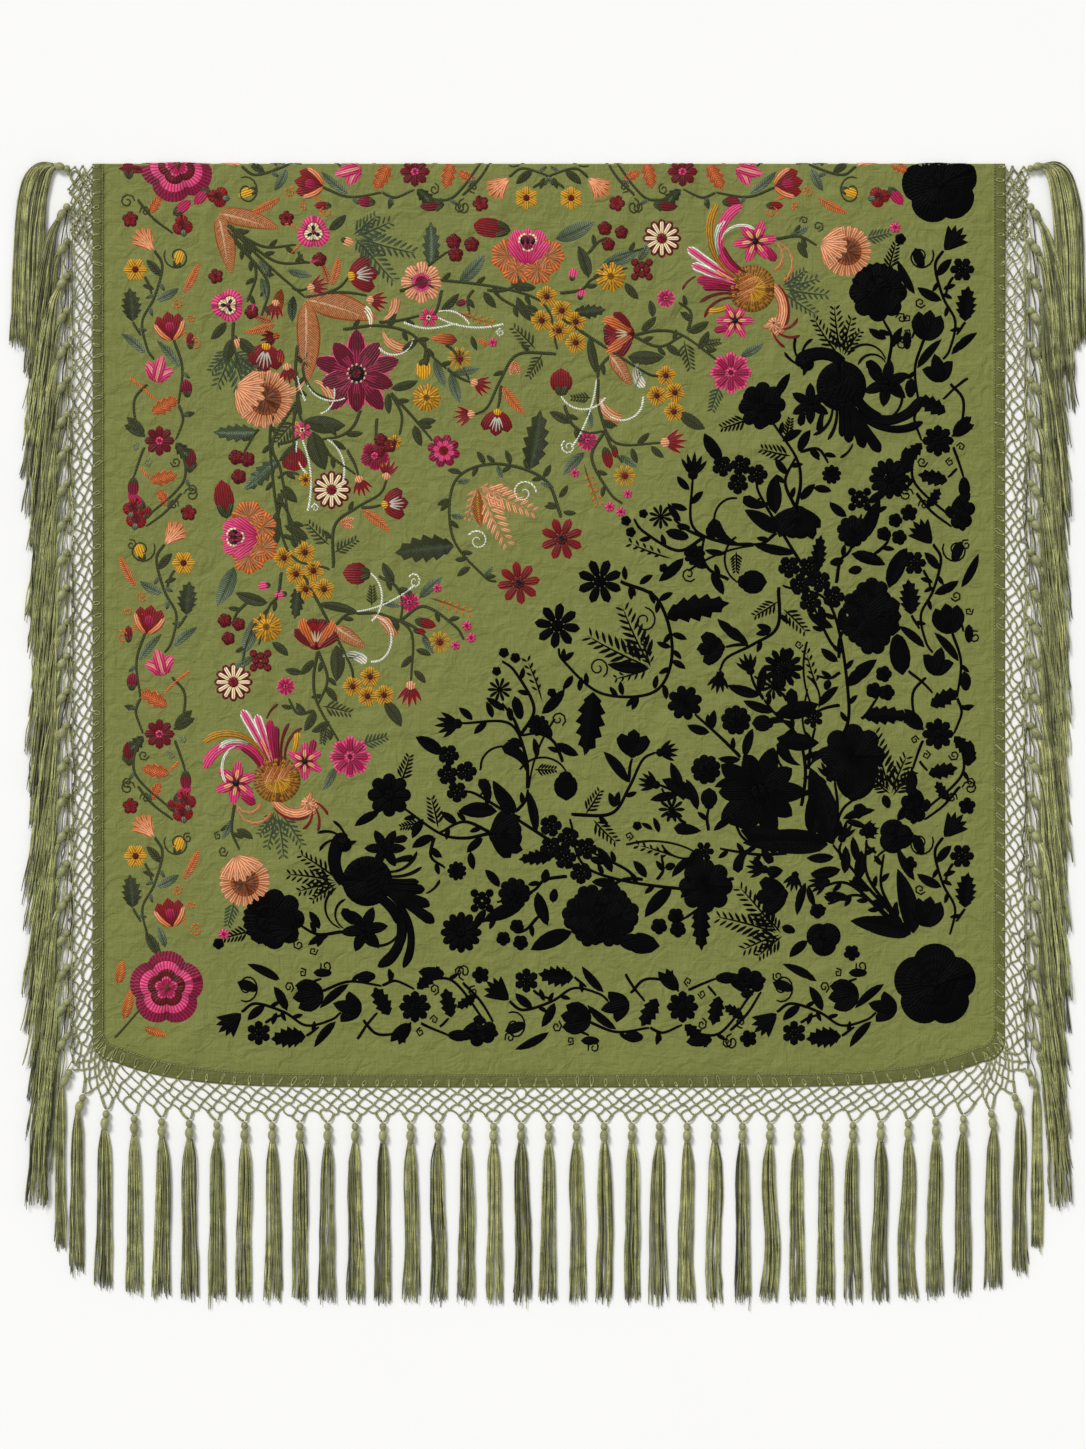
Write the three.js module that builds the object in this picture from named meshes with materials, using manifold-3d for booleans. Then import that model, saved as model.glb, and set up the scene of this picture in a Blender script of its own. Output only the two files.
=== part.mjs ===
// A large square silk shawl with a knotted net and tassels on its edges, lying face up.
// Its top border is turned under, so the far edge is a fold and the other three edges show
// their hem, net and tassels. The tassels of the two sides lie down along the sides.
// Millimetres, +Z up out of the cloth's face, +Y towards the fold. The origin is on the
// surface that the shawl lies on, in the middle of its outline.
import * as THREE from "three";
import Module from "manifold-3d";
import { mergeVertices } from "three/addons/utils/BufferGeometryUtils.js";

const wasm = await Module();
wasm.setup();

// Driving sizes of the cloth.
const CLOTH_WIDTH = 1400;
const FRONT_LENGTH = 1417;
const FOLD_Y = 869.18;
const TURNED_UNDER = 117;
const CLOTH_THICKNESS = 1.4;
const FOLD_RADIUS = 2.5;
const CORNER_RISE = 55;
const CORNER_RADIUS = 34;
const RISE_POWER = 7;

// Driving sizes of the hem and the knotted net.
const SIDE_HEM = 17;
const BOTTOM_HEM = 20;
const HEM_THICKNESS = 2.2;
const SIDE_NET = 34;
const BOTTOM_NET = 52;
const NET_CORNER_RADIUS = 90;
const NET_RISE = 32;
const NET_THICKNESS = 1.2;

// Driving sizes of the tassels.
const TASSEL_LENGTH = 270;
const KNOT_LENGTH = 12;
const KNOT_RADIUS = 5.5;
const BEAD_LENGTH = 18;
const BEAD_RADIUS = 6.6;
const BOTTOM_TASSELS = 37;
const SIDE_TASSELS = 26;
const SIDE_PITCH = 53;
const SIDE_DRIFT = 35;
const TOP_TASSEL_DRIFT = 26;
const FIRST_TASSEL = 8.5;
const FRINGE_LINE = 3;
const FRINGE_LINE_HEIGHT = 5;

const SEAM_GAP = 0.3;
const FLOOR_GAP = 0.3;

// The largest creases of the cloth: a soft ridge each, with its middle, its whole length and
// width, its height, and its direction from +X in degrees.
const CREASES = [
  { x: -610, y: 560, long: 210, wide: 90, high: 0.9, turn: -28 },
  { x: -600, y: 190, long: 230, wide: 90, high: 1.0, turn: -24 },
  { x: -590, y: -220, long: 260, wide: 95, high: 1.1, turn: 26 },
  { x: -80, y: 560, long: 420, wide: 110, high: 0.8, turn: 84 },
  { x: 210, y: 380, long: 460, wide: 120, high: 0.9, turn: 96 },
  { x: 60, y: -60, long: 420, wide: 110, high: 1.0, turn: 88 },
  { x: -290, y: -160, long: 330, wide: 100, high: 0.8, turn: 62 },
  { x: 430, y: 160, long: 330, wide: 100, high: 0.8, turn: 74 },
  { x: -330, y: -440, long: 300, wide: 90, high: 1.2, turn: 18 },
  { x: 230, y: -430, long: 340, wide: 95, high: 1.1, turn: -12 },
  { x: 590, y: 420, long: 220, wide: 90, high: 0.9, turn: 30 },
  { x: 600, y: -130, long: 240, wide: 90, high: 1.0, turn: -22 },
];

const COLOURS = {
  cloth: { color: "#7b7f47", roughness: 0.62 },
  hem: { color: "#666b39", roughness: 0.66 },
  net: { color: "#8a8b5c", roughness: 0.55 },
  fringe: { color: "#7d7e50", roughness: 0.5 },
};

const smoothstep = (low, high, x) => THREE.MathUtils.smoothstep(x, low, high);

// The three outlines that everything follows. Each is a rounded oblong with its lower edge
// rising towards the corners. `bottom` is the height of its lower edge in the middle.
function outline(halfWidth, bottom, rise, radius) {
  return { halfWidth, bottom, rise, radius };
}
const clothBottom = FOLD_Y - FRONT_LENGTH;
const clothHalf = CLOTH_WIDTH / 2;
const stitchLine = outline(
  clothHalf - SIDE_HEM,
  clothBottom + BOTTOM_HEM,
  CORNER_RISE,
  CORNER_RADIUS - SIDE_HEM / 2,
);
const clothEdge = outline(clothHalf, clothBottom, CORNER_RISE, CORNER_RADIUS);
const netEdge = outline(
  clothHalf + SIDE_NET,
  clothBottom - BOTTOM_NET,
  NET_RISE,
  NET_CORNER_RADIUS,
);

const lowerEdge = (line, x) =>
  line.bottom + line.rise * (Math.abs(x) / line.halfWidth) ** RISE_POWER;

// A point of an outline's right half, moved out by `out`. `t` runs from 0 to 1 down the side,
// from 1 to 2 round the corner and from 2 to 3 along the lower edge to the middle.
function pointOn(line, t, out = 0) {
  const straight = line.halfWidth - line.radius;
  const cornerY = lowerEdge(line, straight) + line.radius;
  if (t <= 1) {
    return new THREE.Vector2(line.halfWidth + out, FOLD_Y + (cornerY - FOLD_Y) * t);
  }
  if (t <= 2) {
    const angle = ((t - 1) * Math.PI) / 2;
    const reach = line.radius + out;
    return new THREE.Vector2(
      straight + reach * Math.cos(angle),
      cornerY - reach * Math.sin(angle),
    );
  }
  const x = straight * (3 - t);
  return new THREE.Vector2(x, lowerEdge(line, x) - out);
}

// How high the face lies over the layers that are turned under: the turned border, and past
// it the border's own net and tassels, which thin out.
function layersHeight(y) {
  const below = FOLD_Y - y;
  const border = TURNED_UNDER;
  const lastTassel = TURNED_UNDER + BOTTOM_NET + TASSEL_LENGTH;
  return (2 * FOLD_RADIUS - CLOTH_THICKNESS) * (1 - smoothstep(border, lastTassel, below));
}

// The creases' height at a point: each ridge is a smooth hump across and fades at both ends.
function creaseHeight(x, y) {
  const edgeFade = smoothstep(0, 60, stitchLine.halfWidth - Math.abs(x));
  const foldFade = smoothstep(0, 60, FOLD_Y - y);
  let height = 0;
  for (const crease of CREASES) {
    const turn = THREE.MathUtils.degToRad(crease.turn);
    const along = (x - crease.x) * Math.cos(turn) + (y - crease.y) * Math.sin(turn);
    const across = (y - crease.y) * Math.cos(turn) - (x - crease.x) * Math.sin(turn);
    const fade = 1 - smoothstep(0.3, 1, Math.abs(along) / (crease.long / 2));
    const spread = (2.4 * across) / crease.wide;
    height += crease.high * fade * Math.exp(-spread * spread);
  }
  return height * edgeFade * foldFade;
}

const faceHeight = (x, y) => CLOTH_THICKNESS + layersHeight(y) + creaseHeight(x, y);

// A closed mesh from points and triangles, turned right side out.
function solid(points, triangles) {
  const geometry = new THREE.BufferGeometry().setFromPoints(points);
  let volume = 0;
  for (const [a, b, c] of triangles) {
    volume += points[a].dot(points[b].clone().cross(points[c]));
  }
  const facing = volume < 0 ? triangles.map(([a, b, c]) => [a, c, b]) : triangles;
  geometry.setIndex(facing.flat());
  return geometry;
}

// A solid through rings of equal size, each ring a list of points, with its ends closed.
function loft(rings) {
  const size = rings[0].length;
  const triangles = [];
  for (let k = 0; k + 1 < rings.length; k++) {
    for (let j = 0; j < size; j++) {
      const next = (j + 1) % size;
      const a = k * size + j;
      const b = k * size + next;
      triangles.push([a, b, b + size], [a, b + size, a + size]);
    }
  }
  const last = (rings.length - 1) * size;
  for (let j = 1; j + 1 < size; j++) {
    triangles.push([0, j + 1, j], [last, last + j, last + j + 1]);
  }
  return solid(rings.flat(), triangles);
}

// The cloth's face as rows of points. The first rows go round the fold from the underside to
// the face, the next go down the sides and round the corners, and the last is the lower edge.
const SIDE_ROWS = 34;
const CORNER_ROWS = 5;
const COLUMNS = 36;
const FOLD_ROWS = 6;
const sideSteps = (count) => Array.from({ length: count + 1 }, (_, k) => k / count);

function clothRows() {
  const rows = [];
  const across = sideSteps(COLUMNS).map((u) => 2 * u - 1);
  for (let k = 0; k < FOLD_ROWS; k++) {
    const angle = -Math.PI / 2 + (k * Math.PI) / FOLD_ROWS;
    const y = FOLD_Y - FOLD_RADIUS + FOLD_RADIUS * Math.cos(angle);
    const z = FOLD_RADIUS + FOLD_RADIUS * Math.sin(angle);
    rows.push(across.map((u) => new THREE.Vector3(u * stitchLine.halfWidth, y, z)));
  }
  const straight = stitchLine.halfWidth - stitchLine.radius;
  const lowest = lowerEdge(stitchLine, straight);
  for (const t of outlineSteps(0, 2)) {
    const end = pointOn(stitchLine, t);
    const share = (FOLD_Y - end.y) / (FOLD_Y - lowest);
    rows.push(
      across.map((u) => {
        const x = u * end.x;
        const low = lowerEdge(stitchLine, Math.min(Math.abs(x), straight));
        let y = FOLD_Y + (low - FOLD_Y) * share;
        y = Math.min(y, FOLD_Y - FOLD_RADIUS);
        return new THREE.Vector3(x, y, faceHeight(x, y));
      }),
    );
  }
  return rows;
}

// The steps of `t` that the cloth's rows and the hem and net beside them share, so that the
// gap between them stays even.
function outlineSteps(from, to) {
  const side = sideSteps(SIDE_ROWS);
  const corner = sideSteps(CORNER_ROWS).map((s) => 1 + s);
  const lower = sideSteps(COLUMNS / 2).map((s) => 2 + s);
  const all = [...side, ...corner.slice(1), ...lower.slice(1)];
  return all.filter((t) => t >= from && t <= to);
}

// The front of the shawl: one wall of cloth from the fold to the hem, flat underneath.
function groundCloth() {
  const rows = clothRows();
  const wide = rows[0].length;
  const points = rows.flat();
  const triangles = [];
  const at = (k, j) => k * wide + j;
  for (let k = 0; k + 1 < rows.length; k++) {
    for (let j = 0; j + 1 < wide; j++) {
      triangles.push([at(k, j), at(k, j + 1), at(k + 1, j + 1)]);
      triangles.push([at(k, j), at(k + 1, j + 1), at(k + 1, j)]);
    }
  }
  const last = rows.length - 1;
  const floorPoint = (index) => {
    points.push(new THREE.Vector3(points[index].x, points[index].y, 0));
    return points.length - 1;
  };
  const wall = (top, low) => {
    for (let i = 0; i + 1 < top.length; i++) {
      triangles.push([top[i], top[i + 1], low[i + 1]], [top[i], low[i + 1], low[i]]);
    }
  };
  const rim = [];
  for (const [column, turn] of [[0, 1], [wide - 1, -1]]) {
    for (let k = 1; k < FOLD_ROWS; k++) {
      const face = [at(0, column), at(k, column), at(k + 1, column)];
      triangles.push(turn > 0 ? face : face.reverse());
    }
    const top = [];
    for (let k = FOLD_ROWS; k <= last; k++) top.push(at(k, column));
    const low = [at(0, column), ...top.slice(1).map(floorPoint)];
    if (turn > 0) wall(top, low);
    else wall(low, top);
    rim.push(low);
  }
  const lowerTop = [];
  for (let j = 0; j < wide; j++) lowerTop.push(at(last, j));
  const lowerLow = [rim[0].at(-1), ...lowerTop.slice(1, -1).map(floorPoint), rim[1].at(-1)];
  wall(lowerTop, lowerLow);
  points.push(new THREE.Vector3(0, (FOLD_Y + clothBottom) / 2, 0));
  const centre = points.length - 1;
  const topLine = [];
  for (let j = 0; j < wide; j++) topLine.push(at(0, j));
  const loop = [...topLine, ...rim[1].slice(1), ...lowerLow.slice(0, -1).reverse()];
  loop.push(...rim[0].slice(1, -1).reverse());
  for (let i = 0; i < loop.length; i++) {
    triangles.push([centre, loop[(i + 1) % loop.length], loop[i]]);
  }
  return solid(points, triangles);
}

// A band of cloth or net that fills the space between two outlines, on one side of the shawl
// or right along its lower edge. `profile` lists points across it as shares of its width and
// of its thickness. Its end at the fold is rounded over, as the face is.
const FOLD_TURNS = [72, 50, 25];
function band(inner, outer, stops, thickness, profile) {
  const ring = ({ t, side, turn = 0, lift = 0 }) => {
    const a = pointOn(inner, t, SEAM_GAP);
    const b = pointOn(outer, t);
    const roll = THREE.MathUtils.degToRad(turn);
    return profile.map(([share, level]) => {
      const x = a.x + (b.x - a.x) * share;
      const y = a.y + (b.y - a.y) * share;
      const high = level * (thickness + layersHeight(y));
      const flattened = FOLD_RADIUS + (high - FOLD_RADIUS) * Math.cos(roll);
      const back = t === 0 ? FOLD_RADIUS * (1 - Math.sin(roll)) : 0;
      return new THREE.Vector3(side * x, y - back + lift, flattened);
    });
  };
  return loft(stops.map(ring));
}

// The stops down one side, to where the corner starts, a hair short of the lower band.
const straightStops = (side) =>
  outlineSteps(0, 1).map((t) => ({ t, side, lift: t === 1 ? 1.5 * SEAM_GAP : 0 }));
const sideStops = (side) => [
  ...FOLD_TURNS.map((turn) => ({ t: 0, side, turn })),
  ...straightStops(side),
];
// The stops from corner to corner, the corners' rounds with them.
const lowerStops = () => {
  const left = outlineSteps(1, 3).map((t) => ({ t, side: -1 }));
  const right = left.slice(0, -1).map(({ t }) => ({ t, side: 1 }));
  return [...left, ...right.reverse()];
};

// Across a hem: a flat fold of cloth with a softened outer edge and a sunk stitching line.
const HEM_PROFILE = [[0, 0], [1, 0], [1, 0.62], [0.9, 1], [0.18, 1], [0, 0.74]];
const NET_PROFILE = [[0, 0], [1, 0], [1, 1], [0, 1]];

const toManifold = (geometry) => {
  const merged = mergeVertices(geometry, 1e-4);
  return new wasm.Manifold(
    new wasm.Mesh({
      numProp: 3,
      vertProperties: merged.attributes.position.array,
      triVerts: new Uint32Array(merged.index.array),
    }),
  );
};

const fromManifold = (body) => {
  const mesh = body.getMesh();
  const geometry = new THREE.BufferGeometry();
  geometry.setAttribute("position", new THREE.BufferAttribute(mesh.vertProperties, 3));
  geometry.setIndex(new THREE.BufferAttribute(mesh.triVerts, 1));
  return geometry;
};

const fused = (pieces) => fromManifold(pieces.map(toManifold).reduce((a, b) => a.add(b)));

// A tassel's head: a knot over a longer bead, lying on the floor along the way it points.
// Its profile lists the share of the head's length and the radius there. It starts inside
// the fringe's line.
const HEAD_LENGTH = KNOT_LENGTH + BEAD_LENGTH;
const HEAD_PROFILE = [
  { along: 0, radius: 0.6, z: FLOOR_GAP + 2 },
  { along: 0.2, radius: KNOT_RADIUS },
  { along: 0.4, radius: 3.5 },
  { along: 0.68, radius: BEAD_RADIUS },
  { along: 1, radius: 4.6 },
];
const HEAD_SIDES = 5;
const HEAD_OUTWARD = 0.65;
const SKIRT_Z = FLOOR_GAP + HEAD_PROFILE.at(-1).radius;

// A tassel points down the picture and a little outwards from the edge that it is tied to.
function hangOf(outward) {
  return new THREE.Vector2(0, -1).addScaledVector(outward, HEAD_OUTWARD).normalize();
}

function tasselHead(root, hang) {
  const sideways = new THREE.Vector2(-hang.y, hang.x);
  return loft(
    HEAD_PROFILE.map(({ along, radius, z = FLOOR_GAP + radius }) => {
      const middle = root.clone().addScaledVector(hang, along * HEAD_LENGTH);
      return sideSteps(HEAD_SIDES).slice(1).map((share) => {
        const angle = share * 2 * Math.PI - Math.PI / 2;
        const point = middle.clone().addScaledVector(sideways, radius * Math.cos(angle));
        return new THREE.Vector3(point.x, point.y, z + radius * Math.sin(angle));
      });
    }),
  );
}

// One lock of a tassel: a three-sided strand, flat below, that leaves the bead and lies along
// `path`. Each stop of the path has the middle of the skirt, the lock's place beside it, its
// half width, its half height and the height of its middle.
function lock(path) {
  return loft(
    path.map(({ middle, place, half, flat, z }, i) => {
      const before = path[Math.max(i - 1, 0)].middle;
      const after = path[Math.min(i + 1, path.length - 1)].middle;
      const along = after.clone().sub(before).normalize();
      const sideways = new THREE.Vector2(-along.y, along.x);
      return [[-half, -flat], [half, -flat], [0, flat]].map(([aside, up]) => {
        const point = middle.clone().addScaledVector(sideways, place + aside);
        return new THREE.Vector3(point.x, point.y, z + up);
      });
    }),
  );
}

// A line of cord along the net's outer edge, the backing of a fringe.
function fringeLine(stops) {
  const rings = stops.map(({ t, side, lift = 0 }) => {
    const a = pointOn(netEdge, t, SEAM_GAP);
    const b = pointOn(netEdge, t, SEAM_GAP + FRINGE_LINE);
    const low = FLOOR_GAP;
    const high = FLOOR_GAP + FRINGE_LINE_HEIGHT;
    return [[a, low], [b, low], [b, high], [a, high]].map(
      ([p, z]) => new THREE.Vector3(side * p.x, p.y + lift, z),
    );
  });
  return loft(rings);
}

// Where the lower tassels are tied: even steps along the net's edge from corner to corner,
// each with the direction away from the edge.
const BOTTOM_START = 1.16;

function lowerTies(count) {
  const fine = [];
  for (const t of sideSteps(120).map((s) => BOTTOM_START + s * (3 - BOTTOM_START))) {
    fine.push(pointOn(netEdge, t, SEAM_GAP + FRINGE_LINE / 2));
  }
  const half = [0];
  for (let i = 1; i < fine.length; i++) half.push(half[i - 1] + fine[i].distanceTo(fine[i - 1]));
  const whole = 2 * half.at(-1);
  return sideSteps(count - 1).map((share) => {
    const side = share < 0.5 ? -1 : 1;
    const distance = Math.min(share, 1 - share) * whole;
    const after = Math.max(1, half.findIndex((length) => length >= distance - 1e-6));
    const part = (distance - half[after - 1]) / (half[after] - half[after - 1]);
    const p = fine[after - 1].clone().lerp(fine[after], part);
    const along = fine[after].clone().sub(fine[after - 1]).normalize();
    const outward = new THREE.Vector2(-along.y * side, along.x);
    return { root: new THREE.Vector2(side * p.x, p.y), outward };
  });
}

// A lower tassel has three locks that spread towards their ends.
const BOTTOM_LOCKS = [-1, 0, 1];
const BOTTOM_LOCK_SPREAD = 7.2;
const BOTTOM_LOCK_HALF = 3.2;
const BOTTOM_STEPS = [
  { q: 0, place: 2.2, half: 0.9, flat: 1.2, z: SKIRT_Z },
  { q: 0.27, place: 5.7, half: 2.2, flat: 2.5, z: 4.4 },
  { q: 1, place: BOTTOM_LOCK_SPREAD, half: BOTTOM_LOCK_HALF, flat: 2.6, z: 3.2 },
];

function lowerTassel({ root, outward }, closeness) {
  const hang = hangOf(outward);
  const start = root.clone().addScaledVector(hang, HEAD_LENGTH - 2);
  const drop = start.y - (root.y - TASSEL_LENGTH);
  const locks = BOTTOM_LOCKS.map((side) =>
    lock(
      BOTTOM_STEPS.map(({ q, place, ...size }) => ({
        middle: new THREE.Vector2(start.x, start.y - drop * q),
        place: side * place * (q > 0 ? closeness : 1),
        ...size,
      })),
    ),
  );
  return [tasselHead(root, hang), ...locks];
}

function lowerFringe() {
  const pieces = [fringeLine(lowerStops())];
  const ties = lowerTies(BOTTOM_TASSELS);
  ties.forEach((tie, i) => {
    const next = ties[i < BOTTOM_TASSELS / 2 ? i + 1 : i - 1];
    const room = Math.abs(next.root.x - tie.root.x) / 2 - BOTTOM_LOCK_HALF - SEAM_GAP;
    pieces.push(...lowerTassel(tie, Math.min(1, room / BOTTOM_LOCK_SPREAD)));
  });
  return fused(pieces);
}

// A side tassel leaves the net outwards and lies down along the side, over or under its
// neighbours in two layers. The first one comes round from the fold in an arch.
const SIDE_LOCKS = [-1, 1];
const SIDE_STEPS = [0, 0.3, 0.62, 1];
const LAYER_Z = [3.3, 9];
const DRIFT_POWER = 0.75;
const ARCH = [
  { x: 763, y: 866.9 },
  { x: 787, y: 863.2 },
  { x: 805, y: 813 },
  { x: 812, y: 729 },
  { x: 816, y: 597 },
];

function sidePath(root, side, index) {
  if (index === 0) {
    return ARCH.map(({ x, y }, i) => ({
      q: i / (ARCH.length - 1),
      middle: new THREE.Vector2(side * x, y),
    }));
  }
  const start = root
    .clone()
    .addScaledVector(hangOf(new THREE.Vector2(side, 0)), HEAD_LENGTH - 2);
  const drift = SIDE_DRIFT + TOP_TASSEL_DRIFT * Math.exp(-index);
  const drop = TASSEL_LENGTH - HEAD_LENGTH;
  return SIDE_STEPS.map((q) => ({
    q,
    middle: new THREE.Vector2(start.x + side * drift * q ** DRIFT_POWER, start.y - drop * q),
  }));
}

function sideTassel(root, side, index) {
  const path = sidePath(root, side, index);
  const hang = index === 0
    ? path[0].middle.clone().sub(root).normalize()
    : hangOf(new THREE.Vector2(side, 0));
  const layer = LAYER_Z[index % 2];
  const locks = SIDE_LOCKS.map((place) =>
    lock(
      path.map(({ q, middle }) => ({
        middle,
        place: place * (1.5 + 1.9 * q),
        half: 1 + 1.7 * q,
        flat: 1.2 + 1.3 * q,
        z: SKIRT_Z + (layer - SKIRT_Z) * smoothstep(0, 0.3, q),
      })),
    ),
  );
  return [tasselHead(root, hang), ...locks];
}

function sideFringe(side) {
  const pieces = [fringeLine(straightStops(side))];
  const sideX = netEdge.halfWidth + SEAM_GAP + FRINGE_LINE / 2;
  for (let index = 0; index < SIDE_TASSELS; index++) {
    const root = new THREE.Vector2(side * sideX, FOLD_Y - FIRST_TASSEL - index * SIDE_PITCH);
    pieces.push(...sideTassel(root, side, index));
  }
  return fused(pieces);
}

function named(name, geometry, look) {
  const material = new THREE.MeshStandardMaterial({ ...look, metalness: 0 });
  const mesh = new THREE.Mesh(geometry, material);
  mesh.name = name;
  return mesh;
}

const shawl = new THREE.Group();
shawl.add(named("ground_cloth", groundCloth(), COLOURS.cloth));
for (const [word, side] of [["left", -1], ["right", 1]]) {
  const stops = sideStops(side);
  const hem = band(stitchLine, clothEdge, stops, HEM_THICKNESS, HEM_PROFILE);
  const net = band(clothEdge, netEdge, stops, NET_THICKNESS, NET_PROFILE);
  shawl.add(named(`hem_${word}`, hem, COLOURS.hem));
  shawl.add(named(`net_${word}`, net, COLOURS.net));
  shawl.add(named(`fringe_${word}`, sideFringe(side), COLOURS.fringe));
}
const lowerHem = band(stitchLine, clothEdge, lowerStops(), HEM_THICKNESS, HEM_PROFILE);
const lowerNet = band(clothEdge, netEdge, lowerStops(), NET_THICKNESS, NET_PROFILE);
shawl.add(named("hem_bottom", lowerHem, COLOURS.hem));
shawl.add(named("net_bottom", lowerNet, COLOURS.net));
shawl.add(named("fringe_bottom", lowerFringe(), COLOURS.fringe));

export default shawl;
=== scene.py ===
"""A large square silk shawl, embroidered in satin stitch, lying face up on a pale floor.

Its top border is turned under, so the far edge is a fold. The other three edges show their
hem, knotted net and tassels. Lengths are in millimetres until put_mesh() makes them metres.
"""
import math

import bpy
import numpy as np
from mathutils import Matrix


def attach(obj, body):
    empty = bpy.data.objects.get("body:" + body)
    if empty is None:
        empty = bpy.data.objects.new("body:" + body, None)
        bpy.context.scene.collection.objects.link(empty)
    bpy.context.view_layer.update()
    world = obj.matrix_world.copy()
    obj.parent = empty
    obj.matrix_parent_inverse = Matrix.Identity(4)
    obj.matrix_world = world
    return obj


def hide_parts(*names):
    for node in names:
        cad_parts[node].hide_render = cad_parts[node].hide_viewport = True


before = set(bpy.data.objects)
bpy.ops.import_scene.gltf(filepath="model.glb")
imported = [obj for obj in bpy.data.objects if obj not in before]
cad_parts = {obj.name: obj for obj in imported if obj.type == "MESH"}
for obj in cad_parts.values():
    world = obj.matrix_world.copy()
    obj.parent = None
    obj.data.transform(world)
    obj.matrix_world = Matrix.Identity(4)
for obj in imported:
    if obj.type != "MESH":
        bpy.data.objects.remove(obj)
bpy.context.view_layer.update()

# The camera: straight above the shawl, as the photograph shows it. A long lens 5.25 m up takes
# in 2.224 m from top to bottom, a little more than the shawl with its tassels.
VIEW_HEIGHT = 2.224
LENS = 85.0
SENSOR_WIDTH = 36.0
camera_data = bpy.data.cameras.new("camera")
camera_data.lens = LENS
camera_data.sensor_width = SENSOR_WIDTH
camera = bpy.data.objects.new("camera", camera_data)
camera.location = (-0.0088, 0.0089, VIEW_HEIGHT * LENS / SENSOR_WIDTH)
bpy.context.scene.collection.objects.link(camera)
bpy.context.scene.camera = camera

# The light: an even white room, and one broad lamp high on the upper left that gives the
# raised stitches and the tassels a soft shaded side. Colours are shown as they are.
bpy.context.scene.view_settings.view_transform = "Standard"
bpy.context.scene.view_settings.look = "None"
world = bpy.data.worlds.new("white_room")
world.use_nodes = True
world.node_tree.nodes["Background"].inputs["Color"].default_value = (1.0, 1.0, 0.995, 1.0)
world.node_tree.nodes["Background"].inputs["Strength"].default_value = 0.5
bpy.context.scene.world = world
lamp_data = bpy.data.lights.new("broad_lamp", "SUN")
lamp_data.energy = 2.12
lamp_data.angle = math.radians(20)
lamp_data.color = (1.0, 0.992, 0.975)
lamp = bpy.data.objects.new("broad_lamp", lamp_data)
lamp.rotation_euler = (math.radians(-36), math.radians(-30), 0.0)
bpy.context.scene.collection.objects.link(lamp)


# The floor: a sheet of matt white paper board, 8 m square, with the faintest mottling. It
# carries the shawl and isn't part of it.
def linear(hex_colour):
    """An sRGB hex colour as linear RGBA: c / 12.92 up to 0.04045, else ((c + 0.055) / 1.055) ** 2.4."""
    parts = np.array([int(hex_colour[i : i + 2], 16) for i in (1, 3, 5)]) / 255
    light = np.where(parts <= 0.04045, parts / 12.92, ((parts + 0.055) / 1.055) ** 2.4)
    return (*[float(c) for c in light], 1.0)


def add_node(tree, kind, sockets=None, **settings):
    """Adds one shader node and fills its sockets: a socket is linked, a value is set."""
    made = tree.nodes.new(kind)
    for name, value in settings.items():
        setattr(made, name, value)
    for name, value in (sockets or {}).items():
        if isinstance(value, bpy.types.NodeSocket):
            tree.links.new(value, made.inputs[name])
        else:
            made.inputs[name].default_value = value
    return made


def new_material(name, **finish):
    """A node material with one Principled shader, whose fixed values are given by socket name."""
    material = bpy.data.materials.new(name)
    material.use_nodes = True
    shader = material.node_tree.nodes["Principled BSDF"]
    for socket, value in finish.items():
        shader.inputs[socket.replace("_", " ")].default_value = value
    return material, material.node_tree, shader


def noise(tree, place, scale, detail, **more):
    """The value of a noise texture at a place."""
    sockets = {"Vector": place, "Scale": scale, "Detail": detail, **more}
    return add_node(tree, "ShaderNodeTexNoise", sockets).outputs["Fac"]


def ranged(tree, value, low, high, **more):
    """A value between low and high as a share from 0 to 1, or to the range that `more` states."""
    sockets = {"Value": value, "From Min": low, "From Max": high, **more}
    return add_node(tree, "ShaderNodeMapRange", sockets).outputs[0]


def sum_of(tree, first, second):
    """The sum of two values."""
    return add_node(tree, "ShaderNodeMath", {0: first, 1: second}, operation="ADD").outputs[0]


def between_colours(tree, share, first, second):
    """A colour that goes from one hex colour to another with a share."""
    colour = add_node(tree, "ShaderNodeMix", {"Factor": share}, data_type="RGBA")
    colour.inputs[6].default_value = linear(first)
    colour.inputs[7].default_value = linear(second)
    return colour.outputs[2]


def bumped(tree, shader, height, strength, distance, **more):
    """Raises a shader's surface by a height, in metres, and returns the bent normal."""
    sockets = {"Height": height, "Strength": strength, "Distance": distance, **more}
    normal = add_node(tree, "ShaderNodeBump", sockets).outputs[0]
    tree.links.new(normal, shader.inputs["Normal"])
    return normal


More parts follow.
